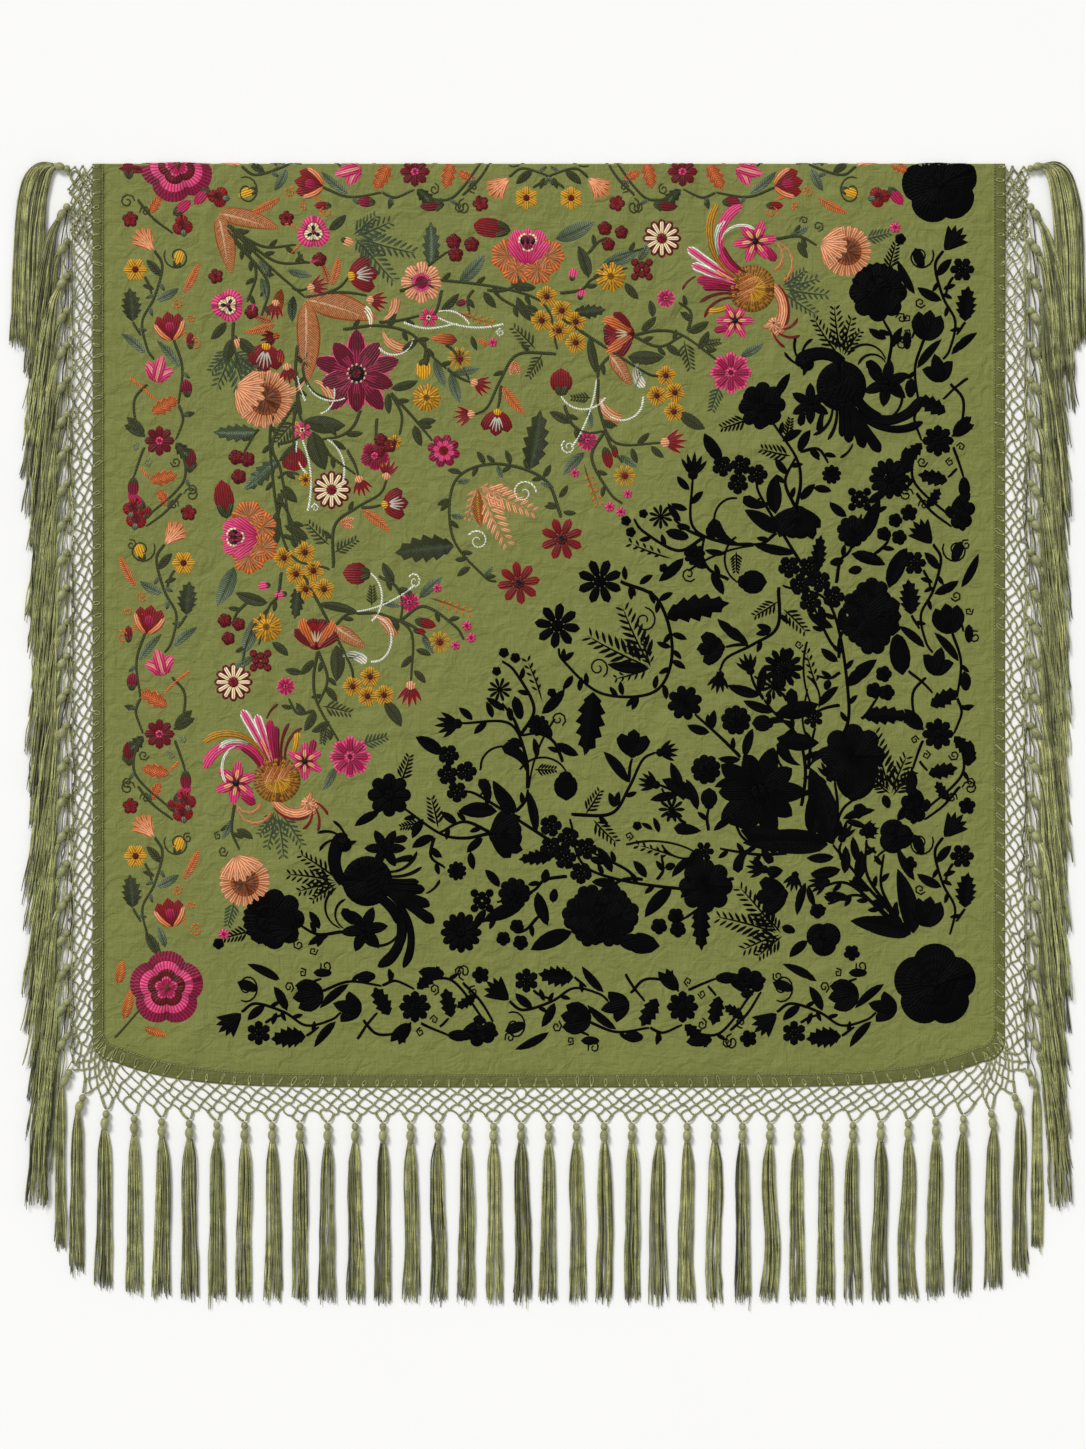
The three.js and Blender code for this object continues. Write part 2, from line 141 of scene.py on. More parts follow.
def put_mesh(name, points, faces, material, uv=None, dye_and_painted_light=None):
    """A mesh object from points in mm and arrays of faces, each with one number of corners, with an
    optional uv in mm and a dye colour for each point."""
    points = np.asarray(points, float).reshape(-1, 3)
    loops = np.concatenate([np.asarray(f).ravel() for f in faces]).astype(np.int32)
    sizes = np.concatenate([np.full(len(f), np.asarray(f).shape[1]) for f in faces])
    starts = np.concatenate([[0], np.cumsum(sizes)[:-1]]).astype(np.int32)
    mesh = bpy.data.meshes.new(name)
    mesh.vertices.add(len(points))
    mesh.vertices.foreach_set("co", (points * 0.001).ravel())
    mesh.loops.add(len(loops))
    mesh.loops.foreach_set("vertex_index", loops)
    mesh.polygons.add(len(sizes))
    mesh.polygons.foreach_set("loop_start", starts)
    mesh.update(calc_edges=True)
    if uv is not None:
        layer = mesh.uv_layers.new(name="threads")
        layer.data.foreach_set("uv", (uv[loops] * 0.001).ravel())
    if dye_and_painted_light is not None:
        colours = np.ones((len(points), 4))
        colours[:, :3] = np.asarray(dye_and_painted_light, float).reshape(-1, 3)
        mesh.attributes.new("dye_and_painted_light", "FLOAT_COLOR", "POINT").data.foreach_set("color", colours.ravel())
    mesh.shade_smooth()
    mesh.materials.append(material)
    made = bpy.data.objects.new(name, mesh)
    bpy.context.scene.collection.objects.link(made)
    return made


def grid_faces(rows, columns, wrap=False):
    """Quads of a rows by columns grid of points, numbered row by row. wrap joins its last column to its
    first."""
    k, j = np.meshgrid(np.arange(rows - 1), np.arange(columns if wrap else columns - 1), indexing="ij")
    here, after = k * columns, (j + 1) % columns
    return np.stack([here + j, here + after, here + columns + after, here + columns + j], -1).reshape(-1, 4)


paper, tree, shader = new_material("matt_white_paper_board", Roughness=0.95, Specular_IOR_Level=0.1)
place = add_node(tree, "ShaderNodeTexCoord").outputs["Object"]
tone = between_colours(tree, noise(tree, place, 3.0, 4.0), "#fdfdfd", "#ffffff")
tree.links.new(tone, shader.inputs["Base Color"])
floor_points = 4000.0 * np.array([(-1, -1, 0), (1, -1, 0), (1, 1, 0), (-1, 1, 0)]) - (0, 0, 0.6)
floor = put_mesh("floor", floor_points, [np.array([[0, 1, 2, 3]])], paper)


# The ground of the shawl: one square of olive silk crepe, 1.40 m wide and 1.534 m long, with its
# top 117 mm turned under. It lies in a few broad soft creases and many small ones.
FOLD_Y = 869.18
FOLD_RADIUS = 2.5
CLOTH_THICKNESS = 1.4
# how far below the fold the turned border reaches, and with its net and tassels
TURNED_BORDER = 117
TASSELS_END = 439
# outlines: half width, lower end in the middle, how far that rises to the corner, radius of the corner
STITCH_LINE = (683.0, -527.82, 55.0, 25.5)
CLOTH_EDGE = (700.0, -547.82, 55.0, 34.0)
NET_EDGE = (734.0, -599.82, 32.0, 90.0)
BROAD_CREASES = np.array([
    # x, y, long, wide, high, turn in degrees
    (-610, 560, 210, 90, 0.9, -28),
    (-600, 190, 230, 90, 1.0, -24),
    (-590, -220, 260, 95, 1.1, 26),
    (-80, 560, 420, 110, 0.8, 84),
    (210, 380, 460, 120, 0.9, 96),
    (60, -60, 420, 110, 1.0, 88),
    (-290, -160, 330, 100, 0.8, 62),
    (430, 160, 330, 100, 0.8, 74),
    (-330, -440, 300, 90, 1.2, 18),
    (230, -430, 340, 95, 1.1, -12),
    (590, 420, 220, 90, 0.9, 30),
    (600, -130, 240, 90, 1.0, -22),
])


def smooth(low, high, value):
    """0 below low, 1 above high, and 3s^2 - 2s^3 of the share s in between."""
    share = np.clip((value - low) / (high - low), 0, 1)
    return share * share * (3 - 2 * share)


def lower_edge(line, x):
    """The height of an outline's lower edge at x: bottom + rise * (|x| / half width) ** 7."""
    half, bottom, rise, _ = line
    return bottom + rise * (np.abs(x) / half) ** 7


def on_line(line, t, out=0.0):
    """A point of an outline's right half, moved out by `out`. t runs from 0 to 1 down the straight side,
    to 2 round a quarter circle and to 3 along the lower edge to the middle."""
    half, _, _, radius = line
    t = np.asarray(t, float)
    straight = half - radius
    corner = lower_edge(line, straight) + radius
    angle = np.clip(t - 1, 0, 1) * np.pi / 2
    x_low = straight * (3 - np.clip(t, 2, 3))
    x_turn = straight + (radius + out) * np.cos(angle)
    y_turn = corner - (radius + out) * np.sin(angle)
    x = np.where(t <= 1, half + out, np.where(t <= 2, x_turn, x_low))
    y_side = FOLD_Y + (corner - FOLD_Y) * t
    y = np.where(t <= 1, y_side, np.where(t <= 2, y_turn, lower_edge(line, x_low) - out))
    return x, y


def layers_height(y):
    """What lies under the face: 3.6 mm over the turned border, thinning out over its net and tassels."""
    return (2 * FOLD_RADIUS - CLOTH_THICKNESS) * (1 - smooth(TURNED_BORDER, TASSELS_END, FOLD_Y - y))


def crease_height(x, y, creases):
    """The sum of ridges, each high * (1 - smooth(0.3, 1, |along| / half its length)) *
    exp(-(2.4 * across / wide)^2)."""
    total = np.zeros(np.shape(x))
    for cx, cy, long, wide, high, turn in creases:
        c, s = math.cos(math.radians(turn)), math.sin(math.radians(turn))
        along = (x - cx) * c + (y - cy) * s
        across = (y - cy) * c - (x - cx) * s + 0.35 * along * along / long
        near = (np.abs(along) < long) & (np.abs(across) < 1.5 * wide)
        fade = 1 - smooth(0.3, 1, np.abs(along[near]) / (long / 2))
        total[near] += high * fade * np.exp(-((2.4 * across[near] / wide) ** 2))
    return total


rng = np.random.default_rng(41)
SMALL_COUNT = 330
# the same six numbers for each small crease
small_creases = np.stack([
    rng.uniform(-670, 670, SMALL_COUNT),
    rng.uniform(-520, 850, SMALL_COUNT),
    rng.uniform(45, 170, SMALL_COUNT),
    rng.uniform(14, 34, SMALL_COUNT),
    rng.uniform(0.8, 2.4, SMALL_COUNT) * rng.choice([1, 1, -0.4], SMALL_COUNT),
    np.where(rng.random(SMALL_COUNT) < 0.55, rng.normal(92, 24, SMALL_COUNT),
             rng.normal(10, 28, SMALL_COUNT)),
], -1)

# The cloth's grid: rows by how far down they are from the fold (0) to the stitch line (1).
COLUMNS = 280
ROWS = 292
CORNER_ROWS = 9
straight_x = STITCH_LINE[0] - STITCH_LINE[3]
corner_low = lower_edge(STITCH_LINE, straight_x)
corner_share = (FOLD_Y - (corner_low + STITCH_LINE[3])) / (FOLD_Y - corner_low)
row_share = np.concatenate([
    np.linspace(0, corner_share, ROWS)[:-1],
    corner_share + (1 - corner_share) * np.sin(np.linspace(0, np.pi / 2, CORNER_ROWS)),
])
column_share = np.linspace(-1, 1, COLUMNS + 1)


def half_width_at(share):
    """Half the width of the cloth at a row: the straight side, then the corner's quarter circle."""
    sunk = np.clip((share - corner_share) / (1 - corner_share), 0, 1)
    return straight_x + STITCH_LINE[3] * np.sqrt(np.clip(1 - sunk * sunk, 0, 1))


grid_x = column_share[None, :] * half_width_at(row_share)[:, None]
low_x = np.minimum(np.abs(grid_x), straight_x)
grid_y = FOLD_Y + (lower_edge(STITCH_LINE, low_x) - FOLD_Y) * row_share[:, None]
grid_y = np.minimum(grid_y, FOLD_Y - FOLD_RADIUS)
from_side = STITCH_LINE[0] - np.abs(grid_x)
from_below = grid_y - lower_edge(STITCH_LINE, grid_x)
from_edge = np.minimum(from_side, from_below)
fold_fade = smooth(0, 22, FOLD_Y - FOLD_RADIUS - grid_y)
run = np.where(from_side < from_below, grid_y, grid_x)
pucker = np.sin(run * 2 * np.pi / 23 + 2.1 * np.sin(run / 61)) * np.exp(-np.clip(from_edge, 0, None) / 16)
swell = 0.5 * np.sin(grid_x / 47 + 1.7 * np.sin(grid_y / 83))
swell = swell * np.sin(grid_y / 59 + 1.3 * np.sin(grid_x / 71))
broad_fade = smooth(0, 60, from_side) * smooth(0, 60, FOLD_Y - grid_y)
small_fade = smooth(0, 14, from_edge) * fold_fade
face = CLOTH_THICKNESS + layers_height(grid_y)
face += crease_height(grid_x, grid_y, BROAD_CREASES) * broad_fade
face += (crease_height(grid_x, grid_y, small_creases) + 0.9 * (swell + 0.5)) * small_fade
face += 0.45 * (pucker + 1) * smooth(0, 6, from_edge) * fold_fade


def cloth_height(x, y):
    """The height of the cloth's own face at points on it, between the four corners of its grid."""
    low_x = np.minimum(np.abs(x), straight_x)
    share = np.clip((FOLD_Y - y) / (FOLD_Y - lower_edge(STITCH_LINE, low_x)), 0, 1)
    row = np.interp(share, row_share, np.arange(len(row_share)))
    column = (np.clip(x / half_width_at(share), -1, 1) + 1) / 2 * COLUMNS
    k = np.minimum(row.astype(int), len(row_share) - 2)
    j = np.minimum(column.astype(int), COLUMNS - 1)
    a, b = row - k, column - j
    near = face[k, j] * (1 - b) + face[k, j + 1] * b
    far = face[k + 1, j] * (1 - b) + face[k + 1, j + 1] * b
    return near * (1 - a) + far * a


def round_fold(x, y, height):
    """Lays points on the cloth. Past the start of the fold they go round its half circle, as far out as
    they are above the face."""
    past = np.clip(y - (FOLD_Y - FOLD_RADIUS), 0, None)
    angle = past / FOLD_RADIUS
    reach = FOLD_RADIUS + (height - 2 * FOLD_RADIUS)
    y_round = FOLD_Y - FOLD_RADIUS + reach * np.sin(angle)
    z_round = FOLD_RADIUS + reach * np.cos(angle)
    return np.stack([x, np.where(past > 0, y_round, y), np.where(past > 0, z_round, height)], -1)


def silk_crepe(name, light, dark):
    """Plain-woven silk crepe: pebbly twisted yarns scatter the light softly, so it is matt with a low
    sheen. Its yarns are 0.2 mm apart and are drawn at 2.4 mm, so that they show."""
    material, tree, shader = new_material(
        name, Roughness=0.66, Specular_IOR_Level=0.22, Sheen_Weight=0.06, Sheen_Roughness=0.45,
        Sheen_Tint=linear("#dfe3b0"),
    )
    place = add_node(tree, "ShaderNodeTexCoord").outputs["Object"]
    warp = add_node(tree, "ShaderNodeMapping", {"Vector": place, "Scale": (420.0, 34.0, 40.0)}).outputs[0]
    weft = add_node(tree, "ShaderNodeMapping", {"Vector": place, "Scale": (30.0, 400.0, 40.0)}).outputs[0]
    yarns = sum_of(tree, noise(tree, warp, 1.0, 2.0), noise(tree, weft, 1.0, 2.0))
    yarns = ranged(tree, yarns, 0.75, 1.25)
    cloud = noise(tree, place, 9.0, 6.0, Roughness=0.62)
    colour = between_colours(tree, ranged(tree, sum_of(tree, yarns, cloud), -0.4, 2.4), dark, light)
    tree.links.new(colour, shader.inputs["Base Color"])
    crinkle = noise(tree, place, 40.0, 3.0, Roughness=0.5, Distortion=0.9)
    low = bumped(tree, shader, crinkle, 0.55, 0.012)
    bumped(tree, shader, yarns, 0.35, 0.0006, Normal=low)
    return material


silk_ground = silk_crepe("olive_silk_crepe_plain_woven", "#858b49", "#6c713a")

roll_angle = np.linspace(-np.pi / 2, np.pi / 2, 13)[:-1]
roll = np.zeros((len(roll_angle), COLUMNS + 1, 3))
roll[..., 0] = column_share * STITCH_LINE[0]
roll[..., 1] = (FOLD_Y - FOLD_RADIUS + FOLD_RADIUS * np.cos(roll_angle))[:, None]
roll[..., 2] = (FOLD_RADIUS + FOLD_RADIUS * np.sin(roll_angle))[:, None]
# the closed wall: the roll of the fold and the face on top, a flat underside, and the edges between
top = np.concatenate([roll, np.stack([grid_x, grid_y, face], -1)])
rows = len(top)
wide = COLUMNS + 1
turned = len(roll_angle)
under_left = top[turned + 1 :, 0] * (1, 1, 0)
under_right = top[turned + 1 :, -1] * (1, 1, 0)
under_low = top[-1, 1:-1] * (1, 1, 0)
cloth_points = np.concatenate([top.reshape(-1, 3), under_left, under_right, under_low])
first_left = rows * wide
first_right = first_left + len(under_left)
first_low = first_right + len(under_left)
left_low = np.concatenate([[0], first_left + np.arange(len(under_left))])
right_low = np.concatenate([[wide - 1], first_right + np.arange(len(under_left))])
left_top = np.arange(rows) * wide
right_top = left_top + wide - 1
last_row = (rows - 1) * wide + np.arange(wide)
last_low = np.concatenate([[left_low[-1]], first_low + np.arange(wide - 2), [right_low[-1]]])
cloth_faces = [
    grid_faces(rows, wide)[:, ::-1],
    left_top[None, : turned + 1],
    right_top[None, : turned + 1][:, ::-1],
    np.stack([left_top[turned:-1], left_top[turned + 1 :], left_low[1:], left_low[:-1]], -1),
    np.stack([right_top[turned:-1], right_low[:-1], right_low[1:], right_top[turned + 1 :]], -1),
    np.stack([last_row[:-1], last_row[1:], last_low[1:], last_low[:-1]], -1),
    np.stack([left_low[1:-1], left_low[2:], right_low[2:], right_low[1:-1]], -1)[:, ::-1],
    np.stack([np.full(wide - 1, left_low[1]), np.arange(1, wide), np.arange(wide - 1)], -1)[:, ::-1],
    np.array([[wide - 1, right_low[1], left_low[1]]]),
    np.stack([np.full(wide - 2, last_low[0]), last_low[1:-1], last_low[2:]], -1)[:, ::-1],
]
cloth = put_mesh("silk_ground", cloth_points, cloth_faces, silk_ground)
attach(cloth, "root")
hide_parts("ground_cloth")


# The rolled hem: the same silk folded over to 17 mm at the sides and 20 mm at the bottom, and
# sewn down with small stitches along its inner edge, which pull it into little puckers.
SEAM_GAP = 0.3
HEM_THICKNESS = 2.2


def round_edges(lap, near, far, share):
    """A point between two outlines. lap runs from 0 at the left end of the fold, down the left side,
    along the lower edge (3 is its middle) and up the right side to 6."""
    lap = np.asarray(lap, float)
    t = np.where(lap <= 3, lap, 6 - lap)
    a = np.stack(on_line(near, t, SEAM_GAP), -1)
    b = np.stack(on_line(far, t), -1)
    point = a + (b - a) * np.asarray(share, float)[..., None]
    point[..., 0] *= np.where(lap <= 3, -1, 1)
    return point


def even_laps(near, far, share, start, end, count):
    """count laps from start to end that are equally far apart along the line between two outlines."""
    fine = np.linspace(start, end, 4001)
    line = round_edges(fine, near, far, share)
    length = np.concatenate([[0], np.cumsum(np.linalg.norm(np.diff(line, axis=0), axis=1))])
    return np.interp(np.linspace(0, length[-1], count), length, fine), length[-1]


silk_hem = silk_crepe("olive_silk_crepe_folded_hem", "#71763f", "#50552a")
hem_laps, hem_length = even_laps(STITCH_LINE, CLOTH_EDGE, 0.5, 0, 6, 1500)
hem_run = np.linspace(0, hem_length, len(hem_laps))
# across the hem: share of its width, share of its height, and how far the puckers lift it
HEM_PROFILE = np.array([
    (0, 0, 0), (1, 0, 0), (1, 0.62, 0.1), (0.96, 0.92, 0.25), (0.88, 1, 0.45), (0.62, 1.03, 0.8),
    (0.38, 1, 1), (0.2, 0.88, 0.7), (0.12, 0.6, 0.1), (0.05, 0.74, 0.3), (0, 0.72, 0),
])
hem = np.zeros((len(hem_laps), len(HEM_PROFILE), 3))
pucker = 0.5 * np.sin(hem_run * 2 * np.pi / 8.7 + 1.9 * np.sin(hem_run / 37))
pucker = pucker + 0.3 * np.sin(hem_run / 7.9 + 1)
for i, (share, level, lift) in enumerate(HEM_PROFILE):
    hem[:, i, :2] = round_edges(hem_laps, STITCH_LINE, CLOTH_EDGE, share)
    hem[:, i, 2] = level * (HEM_THICKNESS + layers_height(hem[:, i, 1])) + 0.55 * lift * pucker
hem[..., 2] = np.maximum(hem[..., 2], 0)
# at the fold each end of the hem turns down and under
ends = []
for turn in np.radians([84, 66, 48, 30, 14]):
    for ring in (hem[0], hem[-1]):
        turned = ring.copy()
        turned[:, 1] = ring[:, 1] - FOLD_RADIUS * (1 - np.sin(turn))
        turned[:, 2] = FOLD_RADIUS + (ring[:, 2] - FOLD_RADIUS) * np.cos(turn)
        ends.append(turned)
hem = np.concatenate([np.array(ends[0::2]), hem[3:-3], np.array(ends[1::2])[::-1]])
hem_faces = [
    grid_faces(len(hem), len(HEM_PROFILE), wrap=True)[:, ::-1],
    np.arange(len(HEM_PROFILE))[None, :],
    (len(hem) - 1) * len(HEM_PROFILE) + np.arange(len(HEM_PROFILE))[None, ::-1],
]
hem_band = put_mesh("rolled_hem", hem, hem_faces, silk_hem)
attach(hem_band, "root")
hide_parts("hem_left", "hem_bottom", "hem_right")


def hem_height(y):
    """The height of the hem's flat top."""
    return HEM_THICKNESS + layers_height(y)


def tubes(paths, radius, sides):
    """Round cords along many paths at once, n by m by 3. Each ring is centre + radius * (cos a * side +
    sin a * up), where side is level and square to the path, and up is square to both. Ends are closed."""
    paths = np.asarray(paths, float)
    n, m, _ = paths.shape
    ahead = np.gradient(paths, axis=1)
    ahead /= np.linalg.norm(ahead, axis=-1, keepdims=True) + 1e-12
    side = np.stack([-ahead[..., 1], ahead[..., 0], np.zeros((n, m))], -1)
    side /= np.linalg.norm(side, axis=-1, keepdims=True) + 1e-12
    up = np.cross(ahead, side)
    angle = np.arange(sides) * 2 * np.pi / sides + np.pi / 2
    radius = np.broadcast_to(radius, (n, m))[..., None, None]
    ring = np.cos(angle)[:, None] * side[:, :, None] + np.sin(angle)[:, None] * up[:, :, None]
    points = paths[:, :, None] + radius * ring
    one = grid_faces(m, sides, wrap=True)
    first = (np.arange(n) * m * sides)[:, None, None]
    faces = (one[None] + first).reshape(-1, 4)
    cap = np.arange(sides)
    caps = [(cap[::-1][None] + first[:, 0]), (cap[None] + (m - 1) * sides + first[:, 0])]
    return points.reshape(-1, 3), [faces, *caps]


def joined(parts):
    """Points and faces of several (points, faces) parts as one."""
    points, faces, start = [], [], 0
    for part_points, part_faces in parts:
        points.append(part_points)
        faces += [np.asarray(f) + start for f in part_faces]
        start += len(part_points)
    return np.concatenate(points), faces


def twisted_silk(name, light, dark, roughness=0.42):
    """Twisted silk: smooth reeled threads give a bright soft gloss along their curve, dark between the
    turns. That light is painted into the base colour: a painted highlight along the turns and painted
    shade between them, with a little random tone. These are 1.5 mm apart and are drawn at 1.9 mm. The
    colour of each strand, painted light included, comes from its points."""
    material, tree, shader = new_material(
        name, Roughness=roughness, Specular_IOR_Level=0.42, Sheen_Weight=0.2, Sheen_Roughness=0.4,
        Sheen_Tint=linear("#e6e8c6"),
    )
    place = add_node(tree, "ShaderNodeTexCoord").outputs["Object"]
    turns = noise(tree, place, 520.0, 2.0)
    # painted highlight and painted shade: the colour is light along the turns and dark between them; the
    # coarser noise adds random tone
    share = ranged(tree, sum_of(tree, turns, noise(tree, place, 60.0, 3.0)), 0.7, 1.3)
    dye_and_painted_light = add_node(tree, "ShaderNodeAttribute", attribute_name="dye_and_painted_light")
    dyed_silk_with_painted_light = add_node(tree, "ShaderNodeMix", {"Factor": 1.0}, data_type="RGBA", blend_type="MULTIPLY")
    tree.links.new(between_colours(tree, share, dark, light), dyed_silk_with_painted_light.inputs[6])
    tree.links.new(dye_and_painted_light.outputs["Color"], dyed_silk_with_painted_light.inputs[7])
    tree.links.new(dyed_silk_with_painted_light.outputs[2], shader.inputs["Base Color"])
    bumped(tree, shader, turns, 0.5, 0.0008)
    return material


def with_height(flat, height):
    """Points in the plane with a height each."""
    return np.concatenate([flat, height[..., None]], -1)


# The hem's sewing: a running stitch 5 mm long along the hem's inner edge, in the silk's own
# colour, each stitch sunk a little between its two holes.
# the light colour is the painted highlight along the turns, the dark one the painted shade between them
sewing_silk = twisted_silk("twisted_sewing_silk_olive", "#a3a86c", "#7c8149")
# the stitching's share of the hem's width
SEWN_AT = 0.06
stitch_laps = even_laps(STITCH_LINE, CLOTH_EDGE, SEWN_AT, 0.002, 5.998, 820)[0]
stitch_step = stitch_laps[1:] - stitch_laps[:-1]
stitch_paths = []
for part in (0.14, 0.32, 0.5, 0.68, 0.86):
    lap = stitch_laps[:-1] + stitch_step * part
    point = round_edges(lap, STITCH_LINE, CLOTH_EDGE, SEWN_AT)
    height = 0.72 * hem_height(point[:, 1]) + 0.75 * math.sin(math.pi * part) ** 0.6 - 0.15
    stitch_paths.append(with_height(point, height))
stitches, stitch_faces = tubes(np.stack(stitch_paths, 1), np.array([0.35, 0.7, 0.75, 0.7, 0.35]), 4)
sewing = put_mesh("hem_stitches", stitches, stitch_faces, sewing_silk, dye_and_painted_light=np.ones((len(stitches), 3)))
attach(sewing, "root")


# The net: twisted silk cord knotted into diamonds, tied to the hem with loops that lie over it.
# Five meshes to two tassels at the sides, two meshes to a tassel along the bottom.
# the light colour is the painted highlight along the turns, the dark one the painted shade between them
net_silk = twisted_silk("twisted_silk_cord_knotted", "#a5a673", "#75774a")
rng = np.random.default_rng(7)
TIE_START = 1.16
NET_CORD = 1.22
LOWER_TASSELS = 37


def net_point(laps, share):
    """Points of the net: it lies on the floor, and near the fold on the turned border."""
    flat = round_edges(laps, CLOTH_EDGE, NET_EDGE, share)
    return with_height(flat, 1.35 + 0.8 * layers_height(flat[..., 1]))


def mesh_rows(laps, shares, jitter):
    """The knots of a net, row by row. Those of odd rows lie between the columns."""
    between = (laps[1:] + laps[:-1]) / 2
    found = []
    for r, share in enumerate(shares):
        points = net_point(laps if r % 2 == 0 else between, share)
        if r > 0:
            points[:, :2] += rng.normal(0, jitter, (len(points), 2))
        found.append(points)
    return found


def cords_between(upper, lower, odd):
    """The two slanting cords of each mesh from one row of knots to the next, each a little bowed."""
    if odd:
        pairs = [(upper, lower[:-1]), (upper, lower[1:])]
    else:
        pairs = [(upper[:-1], lower), (upper[1:], lower)]
    paths = []
    for a, b in pairs:
        steps = []
        sideways = np.stack([-(b - a)[:, 1], (b - a)[:, 0]], -1)
        sideways /= np.linalg.norm(sideways, axis=1, keepdims=True) + 1e-9
        lean = rng.normal(0, 1.3, (len(a), 1))
        for part in (0, 0.34, 0.67, 1):
            point = a + (b - a) * part
            point[:, :2] += sideways * lean * math.sin(math.pi * part)
            point[:, 2] += 0.5 * math.sin(math.pi * part)
            steps.append(point)
        paths.append(np.stack(steps, 1))
    return np.concatenate(paths)


def cords_of(rows):
    """All the cords of a net."""
    return [cords_between(rows[r], rows[r + 1], r % 2 == 1) for r in range(len(rows) - 1)]


def knots(points, size):
    """A small round knot at each point: a short cord that swells from a third of its size to the whole and
    back."""
    n = len(points)
    turn = rng.uniform(0, 2 * np.pi, n)
    way = np.stack([np.cos(turn), np.sin(turn), np.zeros(n)], -1)
    steps = [points + way * size * a + (0, 0, 0.35) for a in (-1, -0.55, 0.55, 1)]
    return tubes(np.stack(steps, 1), size * np.array([0.35, 0.95, 0.95, 0.35]), 5)


bottom_laps = even_laps(NET_EDGE, NET_EDGE, 1.0, TIE_START, 6 - TIE_START, LOWER_TASSELS)[0]
fine_bottom = np.interp(np.arange(2 * LOWER_TASSELS - 1) / 2, np.arange(LOWER_TASSELS), bottom_laps)
lower_rows = mesh_rows(fine_bottom, (0, 0.16, 0.32, 0.48, 0.64, 0.8), 1.0)
cord_paths = cords_of(lower_rows)
knot_points = lower_rows[1:]
SIDE_ROWS_AT = (0, 0.2, 0.4, 0.6, 0.8, 1.0)
side_laps = even_laps(CLOTH_EDGE, NET_EDGE, 0.8, 0.004, TIE_START, 66)[0]
for laps in (side_laps, 6 - side_laps):
    net_rows = mesh_rows(laps, SIDE_ROWS_AT, 1.7)
    cord_paths += cords_of(net_rows)
    knot_points += net_rows[1:]
    # a short piece of the layer below shows beside the fold
    turned_rows = mesh_rows(laps[np.abs(laps - 3) > 3 - 0.085], SIDE_ROWS_AT, 1.2)
    for row in turned_rows:
        row[:, 2] = 1.3
        row[:, 1] -= 6.5
    cord_paths += cords_of(turned_rows)

# how far outside the net's edge the tassels are tied
ROOT_OUT = 1.8
tie_t = np.where(bottom_laps <= 3, bottom_laps, 6 - bottom_laps)
tie_side = np.where(bottom_laps <= 3, -1.0, 1.0)
# where the lower tassels hang and which way is outwards there
roots = np.stack(on_line(NET_EDGE, tie_t, ROOT_OUT), -1)
inside = np.stack(on_line(NET_EDGE, tie_t, ROOT_OUT - 1), -1)
outward = (roots - inside) / np.linalg.norm(roots - inside, axis=1, keepdims=True)
roots[:, 0] *= tie_side
outward[:, 0] *= tie_side
tie_cords = []
for i, root in enumerate(roots):
    for column, spread in ((2 * i - 1, -1), (2 * i, 1)):
        if 0 <= column < len(lower_rows[-1]):
            for aside in (-0.9, 0.9):
                start = lower_rows[-1][column] + (aside * 1.2, 0, 0)
                end = np.array([root[0] + spread * 1.6 + aside * 0.6, root[1] + 1.5, 4.2])
                bow = np.array([0.0, -1.1 - abs(aside) * rng.uniform(0.3, 1.6), 0.6])
                tie_cords.append([start + (end - start) * q + bow * math.sin(math.pi * q)
                                  for q in (0, 0.34, 0.67, 1)])
cord_paths.append(np.array(tie_cords))

net_parts = [tubes(np.concatenate(cord_paths), NET_CORD, 4), knots(np.concatenate(knot_points), 2.2)]
net_points, net_faces = joined(net_parts)
net = put_mesh("knotted_net", net_points, net_faces, net_silk, dye_and_painted_light=np.ones((len(net_points), 3)))
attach(net, "root")
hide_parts("net_left", "net_bottom", "net_right")

# The loops that tie the net to the cloth: each goes up over the hem, through the cloth at the
# stitching and back, with a small knot near the hem's outer edge, painted pale as a painted highlight.
loop_laps = np.concatenate([fine_bottom, side_laps, 6 - side_laps])
loop_paths = []
lean = rng.normal(0, 2.6, len(loop_laps))
reach = np.clip(rng.normal(0.3, 0.17, len(loop_laps)), 0.04, 0.7)
width = rng.uniform(0.5, 3.4, len(loop_laps))
# a loop's places: share of its reach over the hem, how far aside and how high over the hem's top
LOOP_PLACES = (
    (1.1, 0, -0.9), (0.92, -0.3, 0.5), (0.6, -0.8, 0.95), (0.25, -1, 0.9), (0.0, -0.3, 0.75),
    (0.0, 0.4, 0.7), (0.3, 1, 0.9), (0.62, 0.8, 0.8), (0.85, 0.4, 0.3),
)
for place, aside, lift in LOOP_PLACES:
    share = reach + (1 - reach) * place
    point = round_edges(loop_laps, STITCH_LINE, CLOTH_EDGE, share)
    shifted = round_edges(loop_laps + 0.002, STITCH_LINE, CLOTH_EDGE, share)
    along = (shifted - point) / (np.linalg.norm(shifted - point, axis=1, keepdims=True) + 1e-9)
    point = point + along * (aside * width + lean * (1 - place))[:, None]
    point[:, 1] = np.minimum(point[:, 1], FOLD_Y - 3)
    loop_paths.append(with_height(point, hem_height(point[:, 1]) + lift))
loops = tubes(np.stack(loop_paths, 1), 0.78, 4)
at_edge = round_edges(loop_laps, STITCH_LINE, CLOTH_EDGE, 0.84)
at_edge = with_height(at_edge, hem_height(at_edge[:, 1]) + 0.4)
at_edge[:, 1] = np.minimum(at_edge[:, 1], FOLD_Y - 3)
loop_points, loop_faces = joined([loops, knots(at_edge, 1.7)])
